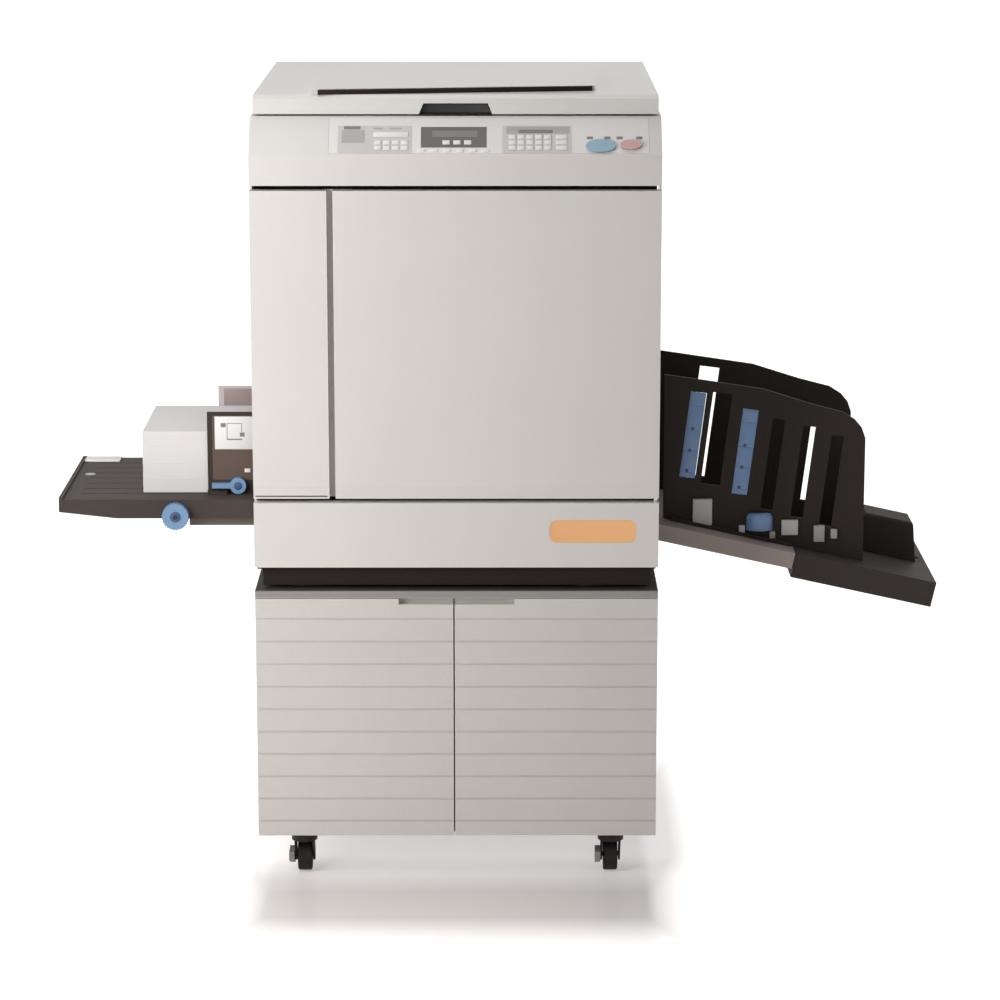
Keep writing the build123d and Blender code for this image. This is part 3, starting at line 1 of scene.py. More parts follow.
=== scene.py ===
# %% [markdown]
# # A digital duplicator on its cabinet
# The machine is a tall office printer: pale plastic casings over a steel chassis,
# a flat lid on top, a feed tray on the left, a sloping receiving tray on the
# right, and a two-door steel cabinet on castors below. The solid model comes in
# as a fixed frame. This lesson gives each part its finish, and models the small
# pieces that the solid model leaves out.

# %% Load the frame
import bpy
import bmesh
import math
import random
from mathutils import Matrix, Vector


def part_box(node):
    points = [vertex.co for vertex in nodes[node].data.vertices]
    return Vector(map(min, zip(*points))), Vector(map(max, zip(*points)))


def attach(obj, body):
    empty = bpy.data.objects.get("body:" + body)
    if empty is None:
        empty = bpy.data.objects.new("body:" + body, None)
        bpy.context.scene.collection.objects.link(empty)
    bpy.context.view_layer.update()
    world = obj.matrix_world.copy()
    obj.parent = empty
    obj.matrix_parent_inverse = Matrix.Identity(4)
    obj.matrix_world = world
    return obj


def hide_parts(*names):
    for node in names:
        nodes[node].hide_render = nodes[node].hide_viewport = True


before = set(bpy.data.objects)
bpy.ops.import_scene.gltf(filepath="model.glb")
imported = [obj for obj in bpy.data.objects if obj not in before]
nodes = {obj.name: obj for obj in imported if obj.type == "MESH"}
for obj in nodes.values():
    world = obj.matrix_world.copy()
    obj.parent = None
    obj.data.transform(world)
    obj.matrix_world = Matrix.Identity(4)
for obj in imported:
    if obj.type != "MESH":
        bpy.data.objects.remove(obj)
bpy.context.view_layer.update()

# %% [markdown]
# ## Reading sizes from the frame
# Everything sits where the solid model says. A few boxes give all the reference
# lines: the body's sides come from the rear cover, the slope of the control
# panel from the top of the scanner housing, and the guides and trays from their
# own boxes. Distances that only the photograph gives are in millimetres.

# %% Reference lines
MM = 0.001
BEVEL_FROM = math.radians(30)
SMOOTH_UP_TO = math.radians(35)


def span(node):
    """The lowest and highest corner of a node as vectors, in metres."""
    low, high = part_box(node)
    return Vector(low), Vector(high)


rear_low, rear_high = span("rear_cover")
left_x = rear_low.x
right_x = rear_high.x
body_x = (left_x + right_x) / 2
base_low = span("base_front_cover")[0]
front_y = base_low.y
housing_high = span("scanner_housing")[1]
lid_low, lid_high = span("platen_cover")
print("body from", round(left_x, 4), "to", round(right_x, 4), "front", round(front_y, 4))

# %% [markdown]
# ## Helpers for modelling
# An operator works on everything that is selected, so each new primitive starts
# from an empty selection. Faces are then chosen in code by their normal. At the
# end the object's place is put into its mesh, so every piece sits at the origin.

# %% Modelling helpers
def select_only(piece):
    """Selects one piece and makes it active."""
    bpy.ops.object.select_all(action="DESELECT")
    piece.select_set(True)
    bpy.context.view_layer.objects.active = piece


def settle(piece):
    """Puts the piece's place, turn and scale into its mesh."""
    select_only(piece)
    bpy.ops.object.transform_apply(location=True, rotation=True, scale=True)


def apply_modifier(piece, kind, **settings):
    """Adds a modifier, sets it up and applies it."""
    select_only(piece)
    modifier = piece.modifiers.new(kind.title(), kind)
    for key, value in settings.items():
        setattr(modifier, key, value)
    bpy.ops.object.modifier_apply(modifier=modifier.name)


def soften(piece, width, segments=3):
    """Rounds every hard edge by a small bevel."""
    apply_modifier(piece, "BEVEL", width=width, segments=segments, limit_method="ANGLE",
                   angle_limit=BEVEL_FROM)
    select_only(piece)
    bpy.ops.object.shade_smooth_by_angle(angle=SMOOTH_UP_TO)


def finish_piece(piece, name, material, body):
    """Names a piece, gives it its finish and lets it ride on its body."""
    piece.name = name
    piece.data.name = name
    piece.data.materials.clear()
    piece.data.materials.append(material)
    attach(piece, body)
    return piece


def add_block(low, high):
    """A cube primitive stretched between two corners, its place applied."""
    low, high = Vector(low), Vector(high)
    bpy.ops.object.select_all(action="DESELECT")
    bpy.ops.mesh.primitive_cube_add(size=1, location=(low + high) / 2)
    piece = bpy.context.active_object
    piece.scale = high - low
    settle(piece)
    return piece


def add_disc(centre, radius, depth, axis="Z", vertices=48):
    """A cylinder primitive along an axis, its place applied."""
    turn = {"X": (0, math.pi / 2, 0), "Y": (math.pi / 2, 0, 0), "Z": (0, 0, 0)}[axis]
    bpy.ops.object.select_all(action="DESELECT")
    bpy.ops.mesh.primitive_cylinder_add(radius=radius, depth=depth, location=centre,
                                        rotation=turn, vertices=vertices)
    piece = bpy.context.active_object
    settle(piece)
    return piece


def select_faces(piece, normal, tolerance=0.95):
    """Goes into edit mode with the faces that look along a direction selected."""
    select_only(piece)
    bpy.ops.object.mode_set(mode="EDIT")
    bpy.ops.mesh.select_mode(type="FACE")
    bpy.ops.mesh.select_all(action="DESELECT")
    mesh = bmesh.from_edit_mesh(piece.data)
    want = Vector(normal).normalized()
    for face in mesh.faces:
        if face.normal.dot(want) > tolerance:
            face.select = True
    bmesh.update_edit_mesh(piece.data)


def sink_face(piece, normal, rim, depth):
    """Insets the faces along a direction and pushes the inner face in."""
    select_faces(piece, normal)
    bpy.ops.mesh.inset(thickness=rim)
    bpy.ops.transform.translate(value=Vector(normal).normalized() * -depth)
    bpy.ops.object.mode_set(mode="OBJECT")


def join_pieces(pieces):
    """Joins several meshes into the first one."""
    bpy.ops.object.select_all(action="DESELECT")
    for piece in pieces:
        piece.select_set(True)
    bpy.context.view_layer.objects.active = pieces[0]
    bpy.ops.object.join()
    return pieces[0]


# %% [markdown]
# ## Helpers for finishes
# No surface here is one flat colour. Moulded plastic has a fine grain, a slow
# drift in tone and an uneven gloss, and so does powder coat, only coarser. One
# recipe with different numbers serves them all: a fine noise drives the bump, a
# slow noise drifts the colour and the roughness.

# %% Finish helpers
def new_finish(name):
    """An empty material with its shader and object coordinates."""
    material = bpy.data.materials.new(name)
    material.use_nodes = True
    tree = material.node_tree
    shader = tree.nodes["Principled BSDF"]
    coords = tree.nodes.new("ShaderNodeTexCoord")
    return material, tree, shader, coords.outputs["Object"]


def add_noise(tree, coords, scale, detail=4.0, roughness=0.55):
    """A noise texture on object coordinates."""
    noise = tree.nodes.new("ShaderNodeTexNoise")
    noise.inputs["Scale"].default_value = scale
    noise.inputs["Detail"].default_value = detail
    noise.inputs["Roughness"].default_value = roughness
    tree.links.new(coords, noise.inputs["Vector"])
    return noise.outputs["Fac"]


def add_range(tree, value, low, high, new_low, new_high):
    """Maps a value from one range to another."""
    node = tree.nodes.new("ShaderNodeMapRange")
    node.inputs["From Min"].default_value = low
    node.inputs["From Max"].default_value = high
    node.inputs["To Min"].default_value = new_low
    node.inputs["To Max"].default_value = new_high
    tree.links.new(value, node.inputs["Value"])
    return node.outputs["Result"]


def add_mix(tree, factor, first, second):
    """Mixes two colours, each a colour value or a socket."""
    node = tree.nodes.new("ShaderNodeMix")
    node.data_type = "RGBA"
    tree.links.new(factor, node.inputs[0])
    for socket, value in ((node.inputs[6], first), (node.inputs[7], second)):
        if isinstance(value, bpy.types.NodeSocket):
            tree.links.new(value, socket)
        else:
            socket.default_value = (*value, 1.0)
    return node.outputs[2]


def add_math(tree, operation, first, second=None):
    """A step of arithmetic on a socket and, for most steps, a number or socket."""
    node = tree.nodes.new("ShaderNodeMath")
    node.operation = operation
    tree.links.new(first, node.inputs[0])
    if isinstance(second, bpy.types.NodeSocket):
        tree.links.new(second, node.inputs[1])
    elif second is not None:
        node.inputs[1].default_value = second
    return node.outputs["Value"]


def add_bump(tree, height, distance, strength=0.5):
    """A bump from a height."""
    bump = tree.nodes.new("ShaderNodeBump")
    bump.inputs["Strength"].default_value = strength
    bump.inputs["Distance"].default_value = distance
    tree.links.new(height, bump.inputs["Height"])
    return bump.outputs["Normal"]


def toned(colour, factor):
    """A colour made lighter or darker."""
    return tuple(min(1.0, channel * factor) for channel in colour)


def moulded(name, colour, rough=0.5, grain=900.0, depth=0.00006, drift=0.05, coat=0.0,
            shine=0.5):
    """A moulded or coated surface: fine grain, slow drift in tone and gloss."""
    material, tree, shader, coords = new_finish(name)
    slow = add_noise(tree, coords, 5.0, 3.0)
    fine = add_noise(tree, coords, grain, 2.0)
    slow_factor = add_range(tree, slow, 0.3, 0.7, 0.0, 1.0)
    tone = add_mix(tree, slow_factor, toned(colour, 1 - drift), toned(colour, 1 + drift))
    speck = add_range(tree, fine, 0.35, 0.65, 0.0, 0.12)
    tree.links.new(add_mix(tree, speck, tone, toned(colour, 0.8)), shader.inputs["Base Color"])
    tree.links.new(add_range(tree, slow, 0.3, 0.7, rough - 0.05, rough + 0.05),
                   shader.inputs["Roughness"])
    tree.links.new(add_bump(tree, fine, depth), shader.inputs["Normal"])
    shader.inputs["Coat Weight"].default_value = coat
    shader.inputs["Specular IOR Level"].default_value = shine
    return material


def brushed(name, colour, rough=0.35, along="Z", stretch=60.0):
    """A metal with fine lines along one axis."""
    material, tree, shader, coords = new_finish(name)
    mapping = tree.nodes.new("ShaderNodeMapping")
    scale = {"X": (1, stretch, stretch), "Y": (stretch, 1, stretch), "Z": (stretch, stretch, 1)}
    mapping.inputs["Scale"].default_value = scale[along]
    tree.links.new(coords, mapping.inputs["Vector"])
    lines = add_noise(tree, mapping.outputs["Vector"], 12.0, 5.0, 0.65)
    slow = add_noise(tree, coords, 9.0, 3.0)
    factor = add_range(tree, lines, 0.3, 0.7, 0.0, 1.0)
    tree.links.new(add_mix(tree, factor, toned(colour, 0.86), toned(colour, 1.08)),
                   shader.inputs["Base Color"])
    tree.links.new(add_range(tree, slow, 0.3, 0.7, rough - 0.07, rough + 0.1),
                   shader.inputs["Roughness"])
    tree.links.new(add_bump(tree, lines, 0.00005, 0.4), shader.inputs["Normal"])
    shader.inputs["Metallic"].default_value = 1.0
    return material


# %% [markdown]
# ## The finishes
# The casings are warm off-white plastic, a little yellow and slightly glossy.
# The cabinet is the same tone in powder coat, with a coarser skin. The shade of the
# machine on its top edge is painted into its colour as darker bands. Trays and guides
# are a brown black, the used-master box and inner receiving tray a dull mauve, and
# what the hand may touch is blue.

# %% Casing and tray finishes
BAND_BLUR = 0.0015


def painted_shade_band(material, low_z, high_z, factor):
    """Paints shade into a finish between two heights: a painted shadow line."""
    tree = material.node_tree
    shader = tree.nodes["Principled BSDF"]
    plain = shader.inputs["Base Color"].links[0].from_socket
    coords = tree.nodes.new("ShaderNodeTexCoord")
    parts = tree.nodes.new("ShaderNodeSeparateXYZ")
    tree.links.new(coords.outputs["Object"], parts.inputs["Vector"])
    over = add_range(tree, parts.outputs["Z"], low_z, low_z + BAND_BLUR, 0.0, 1.0)
    under = add_range(tree, parts.outputs["Z"], high_z, high_z + BAND_BLUR, 1.0, 0.0)
    both = add_math(tree, "MULTIPLY", over, under)
    dark = add_mix(tree, both, (1.0, 1.0, 1.0), (factor, factor, factor))
    blend = tree.nodes.new("ShaderNodeMix")
    blend.data_type = "RGBA"
    blend.blend_type = "MULTIPLY"
    blend.inputs[0].default_value = 1.0
    tree.links.new(plain, blend.inputs[6])
    tree.links.new(dark, blend.inputs[7])
    tree.links.new(blend.outputs[2], shader.inputs["Base Color"])


casing = moulded("casing_plastic", (0.735, 0.702, 0.670), rough=0.42, grain=1100.0, depth=0.00005,
                 drift=0.02, coat=0.08)
lid_casing = moulded("lid_plastic", (0.745, 0.715, 0.685), rough=0.40, grain=1000.0,
                     depth=0.00005, drift=0.02, coat=0.08)
cabinet_coat = moulded("cabinet_powder_coat", (0.660, 0.625, 0.595), rough=0.46, grain=420.0,
                       depth=0.00009, drift=0.02, coat=0.05)
CABINET_RIM = 0.470
# painted shade: the machine's shadow on the cabinet's front top strip, and darker still on its top
# face
painted_shade_band(cabinet_coat, 0.4525, CABINET_RIM, 0.44)
painted_shade_band(cabinet_coat, 0.4632, CABINET_RIM, 0.20)
guide_pale = moulded("guide_pale", (0.55, 0.50, 0.485), rough=0.5, grain=700.0, depth=0.0001,
                     drift=0.04)
panel_skin = moulded("panel_film", (0.80, 0.77, 0.75), rough=0.34, grain=1500.0, depth=0.00002,
                     drift=0.015, coat=0.15)
tray_black = moulded("tray_brown_black", (0.045, 0.036, 0.031), rough=0.6, grain=700.0,
                     depth=0.00012, drift=0.12, shine=0.12)
feed_brown = moulded("feed_brown", (0.060, 0.048, 0.043), rough=0.6, grain=700.0,
                     depth=0.00012, drift=0.12, shine=0.12)
tray_top_brown = moulded("tray_top_brown", (0.058, 0.048, 0.042), rough=0.6, grain=700.0,
                         depth=0.00012, drift=0.10, shine=0.15)
tray_mauve = moulded("tray_mauve", (0.430, 0.360, 0.335), rough=0.55, grain=650.0, depth=0.0001,
                     drift=0.06)
box_mauve = moulded("box_mauve", (0.30, 0.235, 0.225), rough=0.55, grain=650.0, depth=0.0001,
                    drift=0.06)
arm_taupe = moulded("arm_taupe", (0.145, 0.122, 0.104), rough=0.55, grain=650.0, depth=0.0001,
                    drift=0.06)
hand_blue = moulded("hand_blue", (0.250, 0.420, 0.730), rough=0.42, grain=1100.0, depth=0.00005,
                    drift=0.06, coat=0.1)
pale_blue = moulded("pale_blue", (0.165, 0.295, 0.470), rough=0.45, grain=1100.0, depth=0.00005,
                    drift=0.06, coat=0.1)
deep_blue = moulded("deep_blue", (0.035, 0.085, 0.20), rough=0.45, grain=1100.0, depth=0.00005,
                    drift=0.06, coat=0.1)
print("plastic finishes ready")

# %% Metal, rubber and other finishes
zinc_sheet = brushed("zinc_sheet", (0.56, 0.56, 0.55), 0.38, "Z")
ground_steel = brushed("ground_steel", (0.66, 0.66, 0.66), 0.28, "X")
drum_steel = brushed("drum_steel", (0.40, 0.40, 0.41), 0.42, "Y", 90.0)
dark_sheet = moulded("dark_painted_sheet", (0.022, 0.016, 0.015), rough=0.6, grain=420.0,
                     depth=0.00008, drift=0.10, shine=0.1)
soft_black = moulded("soft_black", (0.016, 0.014, 0.014), rough=0.62, grain=800.0,
                     depth=0.0001, drift=0.12)
tyre_rubber = moulded("tyre_rubber", (0.022, 0.020, 0.019), rough=0.7, grain=500.0,
                      depth=0.00015, drift=0.15, shine=0.2)
roller_rubber = moulded("roller_rubber", (0.045, 0.046, 0.05), rough=0.6, grain=900.0,
                        depth=0.0001, drift=0.10)
castor_black = moulded("castor_black", (0.026, 0.022, 0.020), rough=0.55, grain=800.0,
                       depth=0.00008, drift=0.08, shine=0.2)
castor_grey = moulded("castor_grey", (0.27, 0.26, 0.25), rough=0.5, grain=800.0, depth=0.00008,
                      drift=0.08)
ink_plastic = moulded("ink_plastic", (0.42, 0.43, 0.42), rough=0.4, grain=600.0, depth=0.00006,
                      drift=0.05)
board_green = moulded("board_green", (0.02, 0.11, 0.05), rough=0.3, grain=300.0, depth=0.0002,
                      drift=0.2, coat=0.4)
start_blue = moulded("start_blue", (0.30, 0.46, 0.56), rough=0.3, grain=1200.0, depth=0.00002,
                     drift=0.05, coat=0.3)
stop_red = moulded("stop_red", (0.66, 0.40, 0.39), rough=0.3, grain=1200.0, depth=0.00002,
                   drift=0.05, coat=0.3)
pad_white = moulded("pad_white", (0.78, 0.78, 0.77), rough=0.7, grain=300.0, depth=0.0002,
                    drift=0.02)
badge_orange = moulded("badge_orange", (0.97, 0.50, 0.205), rough=0.32, grain=1200.0,
                       depth=0.00003, drift=0.05, coat=0.3)
label_white = moulded("label_white", (0.78, 0.77, 0.75), rough=0.5, grain=1200.0, depth=0.00003,
                      drift=0.03)
key_grey = moulded("key_grey", (0.42, 0.41, 0.40), rough=0.42, grain=1200.0, depth=0.00003,
                   drift=0.04)
key_white = moulded("key_white", (0.82, 0.81, 0.80), rough=0.38, grain=1200.0, depth=0.00003,
                    drift=0.02)
print_grey = moulded("print_grey", (0.20, 0.19, 0.185), rough=0.45, grain=1200.0,
                     depth=0.00002, drift=0.05)


def clear_glass(name, colour, rough, alpha):
    """A thin pane: mostly clear, with a tint and slightly uneven gloss."""
    material, tree, shader, coords = new_finish(name)
    slow = add_noise(tree, coords, 12.0, 3.0)
    factor = add_range(tree, slow, 0.3, 0.7, 0.0, 1.0)
    tree.links.new(add_mix(tree, factor, toned(colour, 0.95), colour), shader.inputs["Base Color"])
    tree.links.new(add_range(tree, slow, 0.3, 0.7, rough, rough + 0.03),
                   shader.inputs["Roughness"])
    shader.inputs["Alpha"].default_value = alpha
    return material


platen_pane = clear_glass("platen_pane", (0.72, 0.80, 0.78), 0.03, 0.4)
window_dark = clear_glass("window_dark", (0.155, 0.148, 0.142), 0.16, 1.0)
print("metal, rubber and glass finishes ready")


# %% [markdown]
# ## Paper in a stack
# The side of a stack shows the edge of every sheet. Real sheets are a tenth of a
# millimetre, too fine to model, so the finish draws them: a wave along Z, upset
# by a slow noise so that the lines run uneven, feeds the colour and the bump.

# %% Paper finish
def stacked_paper(name, colour):
    """Paper with fine uneven lines across its sides."""
    material, tree, shader, coords = new_finish(name)
    wave = tree.nodes.new("ShaderNodeTexWave")
    wave.bands_direction = "Z"
    wave.inputs["Scale"].default_value = 260.0
    wave.inputs["Distortion"].default_value = 2.0
    wave.inputs["Detail"].default_value = 3.0
    tree.links.new(coords, wave.inputs["Vector"])
    slow = add_noise(tree, coords, 14.0, 3.0)
    factor = add_range(tree, wave.outputs["Fac"], 0.0, 1.0, 0.0, 0.35)
    tone = add_mix(tree, factor, colour, toned(colour, 0.86))
    drift = add_range(tree, slow, 0.3, 0.7, 0.0, 0.3)
    tree.links.new(add_mix(tree, drift, tone, toned(colour, 0.94)), shader.inputs["Base Color"])
    tree.links.new(add_bump(tree, wave.outputs["Fac"], 0.00015, 0.4), shader.inputs["Normal"])
    shader.inputs["Roughness"].default_value = 0.85
    return material


sheet_white = stacked_paper("sheet_white", (0.76, 0.735, 0.735))

# %% [markdown]
# ## Dressing the solid parts
# Each solid part keeps its mesh and gets a finish through its material slots.

# %% Give every solid part its finish
finish_of = {
    casing: ["base_front_cover", "left_front_cover", "left_side_cover", "right_side_cover",
             "rear_cover", "front_door", "scanner_housing"],
    lid_casing: ["platen_cover"],
    cabinet_coat: ["cabinet_carcass", "cabinet_door_left", "cabinet_door_right"],
    panel_skin: ["control_panel"],
    window_dark: ["lcd_display"],
    zinc_sheet: ["drum_frame"],
    dark_sheet: ["chassis_frame"],
    ground_steel: ["hinge_pins", "caster_plates", "scanner_rails"],
    drum_steel: ["print_drum"],
    guide_pale: ["feed_guide_rear"],
    tray_black: ["feed_head", "receiving_guide_front",
                 "receiving_guide_rear", "paper_stopper", "feed_guide_front"],
    feed_brown: ["feed_tray"],
    tray_top_brown: ["tray_extension"],
    tray_mauve: ["receiving_tray", "master_unit"],
    box_mauve: ["disposal_box"],
    arm_taupe: ["feed_elevator"],
    hand_blue: ["arranger_left", "arranger_right"],
    pale_blue: ["position_dial", "guide_lock_lever"],
    soft_black: ["machine_feet", "power_inlet", "power_switch", "scan_carriage", "drive_motor"],
    tyre_rubber: [name for name in nodes if name.startswith("caster_wheel")],
    castor_black: [name for name in nodes if name.startswith("caster_fork")],
    castor_grey: [name for name in nodes if name.startswith("brake_lever")],
    roller_rubber: ["pressure_roller", "pickup_roller", "feed_roller"],
    ink_plastic: ["ink_bottle"],
    board_green: ["control_boards"],
    start_blue: ["start_key"],
    stop_red: ["stop_key"],
    platen_pane: ["platen_glass"],
    pad_white: ["original_pad"],
    sheet_white: ["paper_stack"],
}
dressed = 0
for finish, names in finish_of.items():
    for name in names:
        for material_slot in nodes[name].material_slots:
            material_slot.material = finish
        dressed += 1
print("dressed", dressed, "of", len(nodes), "solid parts")

# %% [markdown]
# ## The paper on the feed tray
# A ream never lies perfectly square. The stack is built from packets of sheets,
# each a thin slab nudged by a fraction of a millimetre, which breaks the edge
# the way a real stack does. They stand for the solid stack.

# %% Paper stack
def model_paper():
    """Packets of sheets, each nudged a little, joined into one stack."""
    low, high = span("paper_stack")
    packets = 26
    thick = (high.z - low.z) / packets
    nudge = 0.5
    rng = random.Random(7)
    slabs = []
    for index in range(packets):
        nudge_x = rng.uniform(0.0, nudge) * MM
        nudge_y = rng.uniform(0.0, nudge) * MM
        z = low.z + index * thick
        slab = add_block((low.x + nudge_x, low.y + nudge_y, z + 0.06 * MM),
                         (high.x - nudge * MM + nudge_x, high.y - nudge * MM + nudge_y,
                          z + thick))
        slabs.append(slab)
    stack = join_pieces(slabs)
    soften(stack, 0.15 * MM, 1)
    return stack


paper = finish_piece(model_paper(), "paper_packets", sheet_white, "paper_stack")
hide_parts("paper_stack")
print("paper packets:", len(paper.data.polygons), "faces")

# %% [markdown]
# ## The control panel
# The panel lies on the sloping front of the scanner housing. A small frame of
# reference makes it easy to place keys: x from the body's middle, y up the
# slope and z out of it. Columns and rows are read off the photograph, heights
# are in millimetres. A key is a cube primitive whose top is inset and lifted,
# then bevelled, and it is turned onto the slope at the end.

# %% Panel coordinates
SLOPE_DROP = 53 * MM
SLOPE_DEPTH = 45 * MM
slope_bottom = Vector((body_x, front_y, housing_high.z - SLOPE_DROP))
slope_top = Vector((body_x, front_y + SLOPE_DEPTH, housing_high.z))
slope_length = (slope_top - slope_bottom).length
slope_angle = math.atan2(slope_top.z - slope_bottom.z, slope_top.y - slope_bottom.y)
on_slope = Matrix.Translation(slope_bottom) @ Matrix.Rotation(slope_angle, 4, "X")

PHOTO_MM = 1.525
PHOTO_MIDDLE = 456.5
PHOTO_SLOPE_LOW = 155.0
PHOTO_SLOPE_HIGH = 117.0
KEY_PITCH = (8.6, 5.2)
KEY_SIZE = (6.6, 3.8)
NUMBER_KEY_TOP = 135.8


def panel_x(pixel):
    """Metres from the body's middle for a column of the photograph."""
    return (pixel - PHOTO_MIDDLE) * PHOTO_MM * MM


def panel_s(pixel):
    """Metres up the slope for a row of the photograph."""
    return (PHOTO_SLOPE_LOW - pixel) / (PHOTO_SLOPE_LOW - PHOTO_SLOPE_HIGH) * slope_length


def panel_plate(columns, rows, low, high):
    """A plate on the slope between two columns and two rows of the photograph."""
    return add_block((panel_x(columns[0]), panel_s(rows[1]), low * MM),
                     (panel_x(columns[1]), panel_s(rows[0]), high * MM))


def lay_on_slope(pieces):
    """Joins pieces drawn flat and turns them onto the slope."""
    piece = join_pieces(pieces)
    piece.data.transform(on_slope)
    return piece


# %% Key fields, keys and printed marks
def key_cap(columns, rows, low, high):
    """One key: a block whose top is drawn in and lifted."""
    key = panel_plate(columns, rows, low, (low + high) / 2)
    select_faces(key, (0, 0, 1))
    bpy.ops.mesh.inset(thickness=0.5 * MM)
    bpy.ops.transform.translate(value=(0, 0, (high - low) / 2 * MM))
    bpy.ops.object.mode_set(mode="OBJECT")
    return key


def key_field(left, top, columns, rows):
    """Small keys in columns and rows, from one corner in the photograph."""
    caps = []
    for column in range(columns):
        x = left + column * KEY_PITCH[0]
        for row in range(rows):
            y = top + row * KEY_PITCH[1]
            caps.append(key_cap((x, x + KEY_SIZE[0]), (y, y + KEY_SIZE[1]), 0.3, 1.5))
    return caps


field_plates = [
    panel_plate((342, 414), (126.5, 153), 0.0, 0.35),
    panel_plate((502, 569), (126.5, 153), 0.0, 0.35),
]
fields = finish_piece(lay_on_slope(field_plates), "key_fields",
                      moulded("field_grey", (0.60, 0.585, 0.57), rough=0.4, grain=1300.0,
                              depth=0.00002, drift=0.03), "machine")

grey_marks = [
    panel_plate((346, 368), (131, 143), 0.3, 0.7),
    panel_plate((377, 386), (128.5, 130), 0.3, 0.6),
    panel_plate((392, 404), (128.5, 130), 0.3, 0.6),
    panel_plate((506, 567), (127.5, 134), 0.3, 0.7),
]
greys = finish_piece(lay_on_slope(grey_marks), "grey_marks", key_grey, "machine")

dark_marks = [
    panel_plate((348, 364), (127.2, 130), 0.3, 0.8),
    panel_plate((518, 551), (130.5, 134), 0.65, 0.8),
    panel_plate((434, 478), (131, 137.5), -0.55, -0.3),
]
for column in (584, 601, 613, 632):
    dark_marks.append(panel_plate((column, column + 6), (137, 139.5), 0.0, 0.3))
darks = finish_piece(lay_on_slope(dark_marks), "dark_marks", print_grey, "machine")

white_keys = key_field(508.5, NUMBER_KEY_TOP, 5, 3)
for row in range(3):
    top = NUMBER_KEY_TOP + row * KEY_PITCH[1]
    white_keys.append(key_cap((554, 565), (top, top + KEY_SIZE[1]), 0.3, 1.3))
white_keys.append(key_cap((377, 411), (133, 137.5), 0.3, 1.3))
white_keys += key_field(378, 141.0, 4, 2)
# the row below the display window, then three keys inside it
for column in range(6):
    left = 420 + column * 12.5
    white_keys.append(key_cap((left, left + 7.0), (149.4, 152.0), 0.0, 1.0))
for column in range(3):
    left = 444 + column * 10.5
    white_keys.append(key_cap((left, left + 7), (140.5, 144.5), -0.55, 0.4))
keys = lay_on_slope(white_keys)
soften(keys, 0.25 * MM, 2)
keys = finish_piece(keys, "membrane_keys", key_white, "machine")
print("keys:", len(white_keys))

# %% [markdown]
# ## The lid
# The lid has a dark finger recess in the middle of its front lip and a slot along the
# slanted front of its raised plate. Both are thin liners: the recess gets a trapezoid
# plate set back in it, the slot a dark strip of painted shade that follows the slant.

# %% Lid grip and slot
lid_body = "lid"
lid_front = lid_low.y
lid_bottom = lid_low.z
lid_top = lid_high.z


def model_grip():
    """A black liner for the finger recess, hollow towards the front."""
    depth = 13.0 * MM
    half_low = 54.2 * MM
    half_high = 47.2 * MM
    top = lid_bottom + 15.4 * MM
    grip = add_block((body_x - half_low, lid_front + 0.2 * MM, lid_bottom + 0.3 * MM),
                     (body_x + half_low, lid_front + depth, top))
    for vertex in grip.data.vertices:
        if vertex.co.z > lid_bottom + 5 * MM:
            side = 1 if vertex.co.x > body_x else -1
            vertex.co.x = body_x + side * half_high
    sink_face(grip, (0, -1, 0), 1.2 * MM, 9.0 * MM)
    soften(grip, 0.4 * MM, 2)
    return grip


grip = finish_piece(model_grip(), "lid_grip", soft_black, lid_body)


def model_slot_shade_strip():
    """A dark strip against the slanted front of the raised plate: painted shade for the slot."""
    half_length = 205.0 * MM
    x0 = body_x - half_length
    x1 = body_x + half_length
    y0 = lid_front + 10.0 * MM
    y1 = lid_front + 68.0 * MM
    deck = lid_top - 8.0 * MM
    strip = add_block((x0, y0 - 3.0 * MM, deck), (x1, y0 - 0.05 * MM, lid_top - 0.8 * MM))
    for vertex in strip.data.vertices:
        share = (vertex.co.x - x0) / (x1 - x0)
        vertex.co.y += share * (y1 - y0)
    soften(strip, 0.3 * MM, 2)
    return strip


# painted shade: a dark strip standing for the shadow in the lid's slot
slot_shade_strip = finish_piece(model_slot_shade_strip(), "slot_shade_strip", dark_sheet, lid_body)
print("lid grip and slot in place")

# %% [markdown]
# ## The feed side
# The front guide is a dark frame round a brown face with a white label. The
# label holds plain shapes only. The rear guide is pale, and shows a mauve plate
# above the paper. The tray has a pale scale at its rear corner and a small round
# eye sunk in its top. The dial and the lock lever have a dark blue disc.

# %% Feed guide face, label and tray scale
stack_low, stack_high = span("paper_stack")
guide_face_y = stack_low.y - 6.3 * MM


def guide_plate(left, right, low, high, proud):
    """A thin plate on the front feed guide: mm off the body, mm above the tray."""
    return add_block((left_x - left * MM, guide_face_y - proud * MM, stack_low.z + low * MM),
                     (left_x - right * MM, guide_face_y, stack_low.z + high * MM))


brown_face = guide_plate(80, -2, 22, 125, 0.4)
brown = moulded("guide_brown", (0.085, 0.052, 0.038), rough=0.5, grain=700.0, depth=0.0001,
                drift=0.1)
brown_face = finish_piece(brown_face, "feed_guide_face", brown, "feed_guide_front")
labels = [guide_plate(76, 1, 71, 123.5, 1.0), guide_plate(30, 21, 34, 40, 0.9)]
label = join_pieces(labels)
soften(label, 0.4 * MM, 2)
label = finish_piece(label, "feed_guide_label", label_white, "feed_guide_front")
shapes = [guide_plate(66.5, 58.5, 106.5, 113, 1.2), guide_plate(36.5, 29, 91.5, 98, 1.2)]
for left, right, low, high in ((57, 33, 112, 113), (57, 33, 86, 88), (57, 56, 86, 112),
                               (34, 33, 99, 112)):
    shapes.append(guide_plate(left, right, low, high, 1.15))
label_print = finish_piece(join_pieces(shapes), "feed_label_print", print_grey, "feed_guide_front")

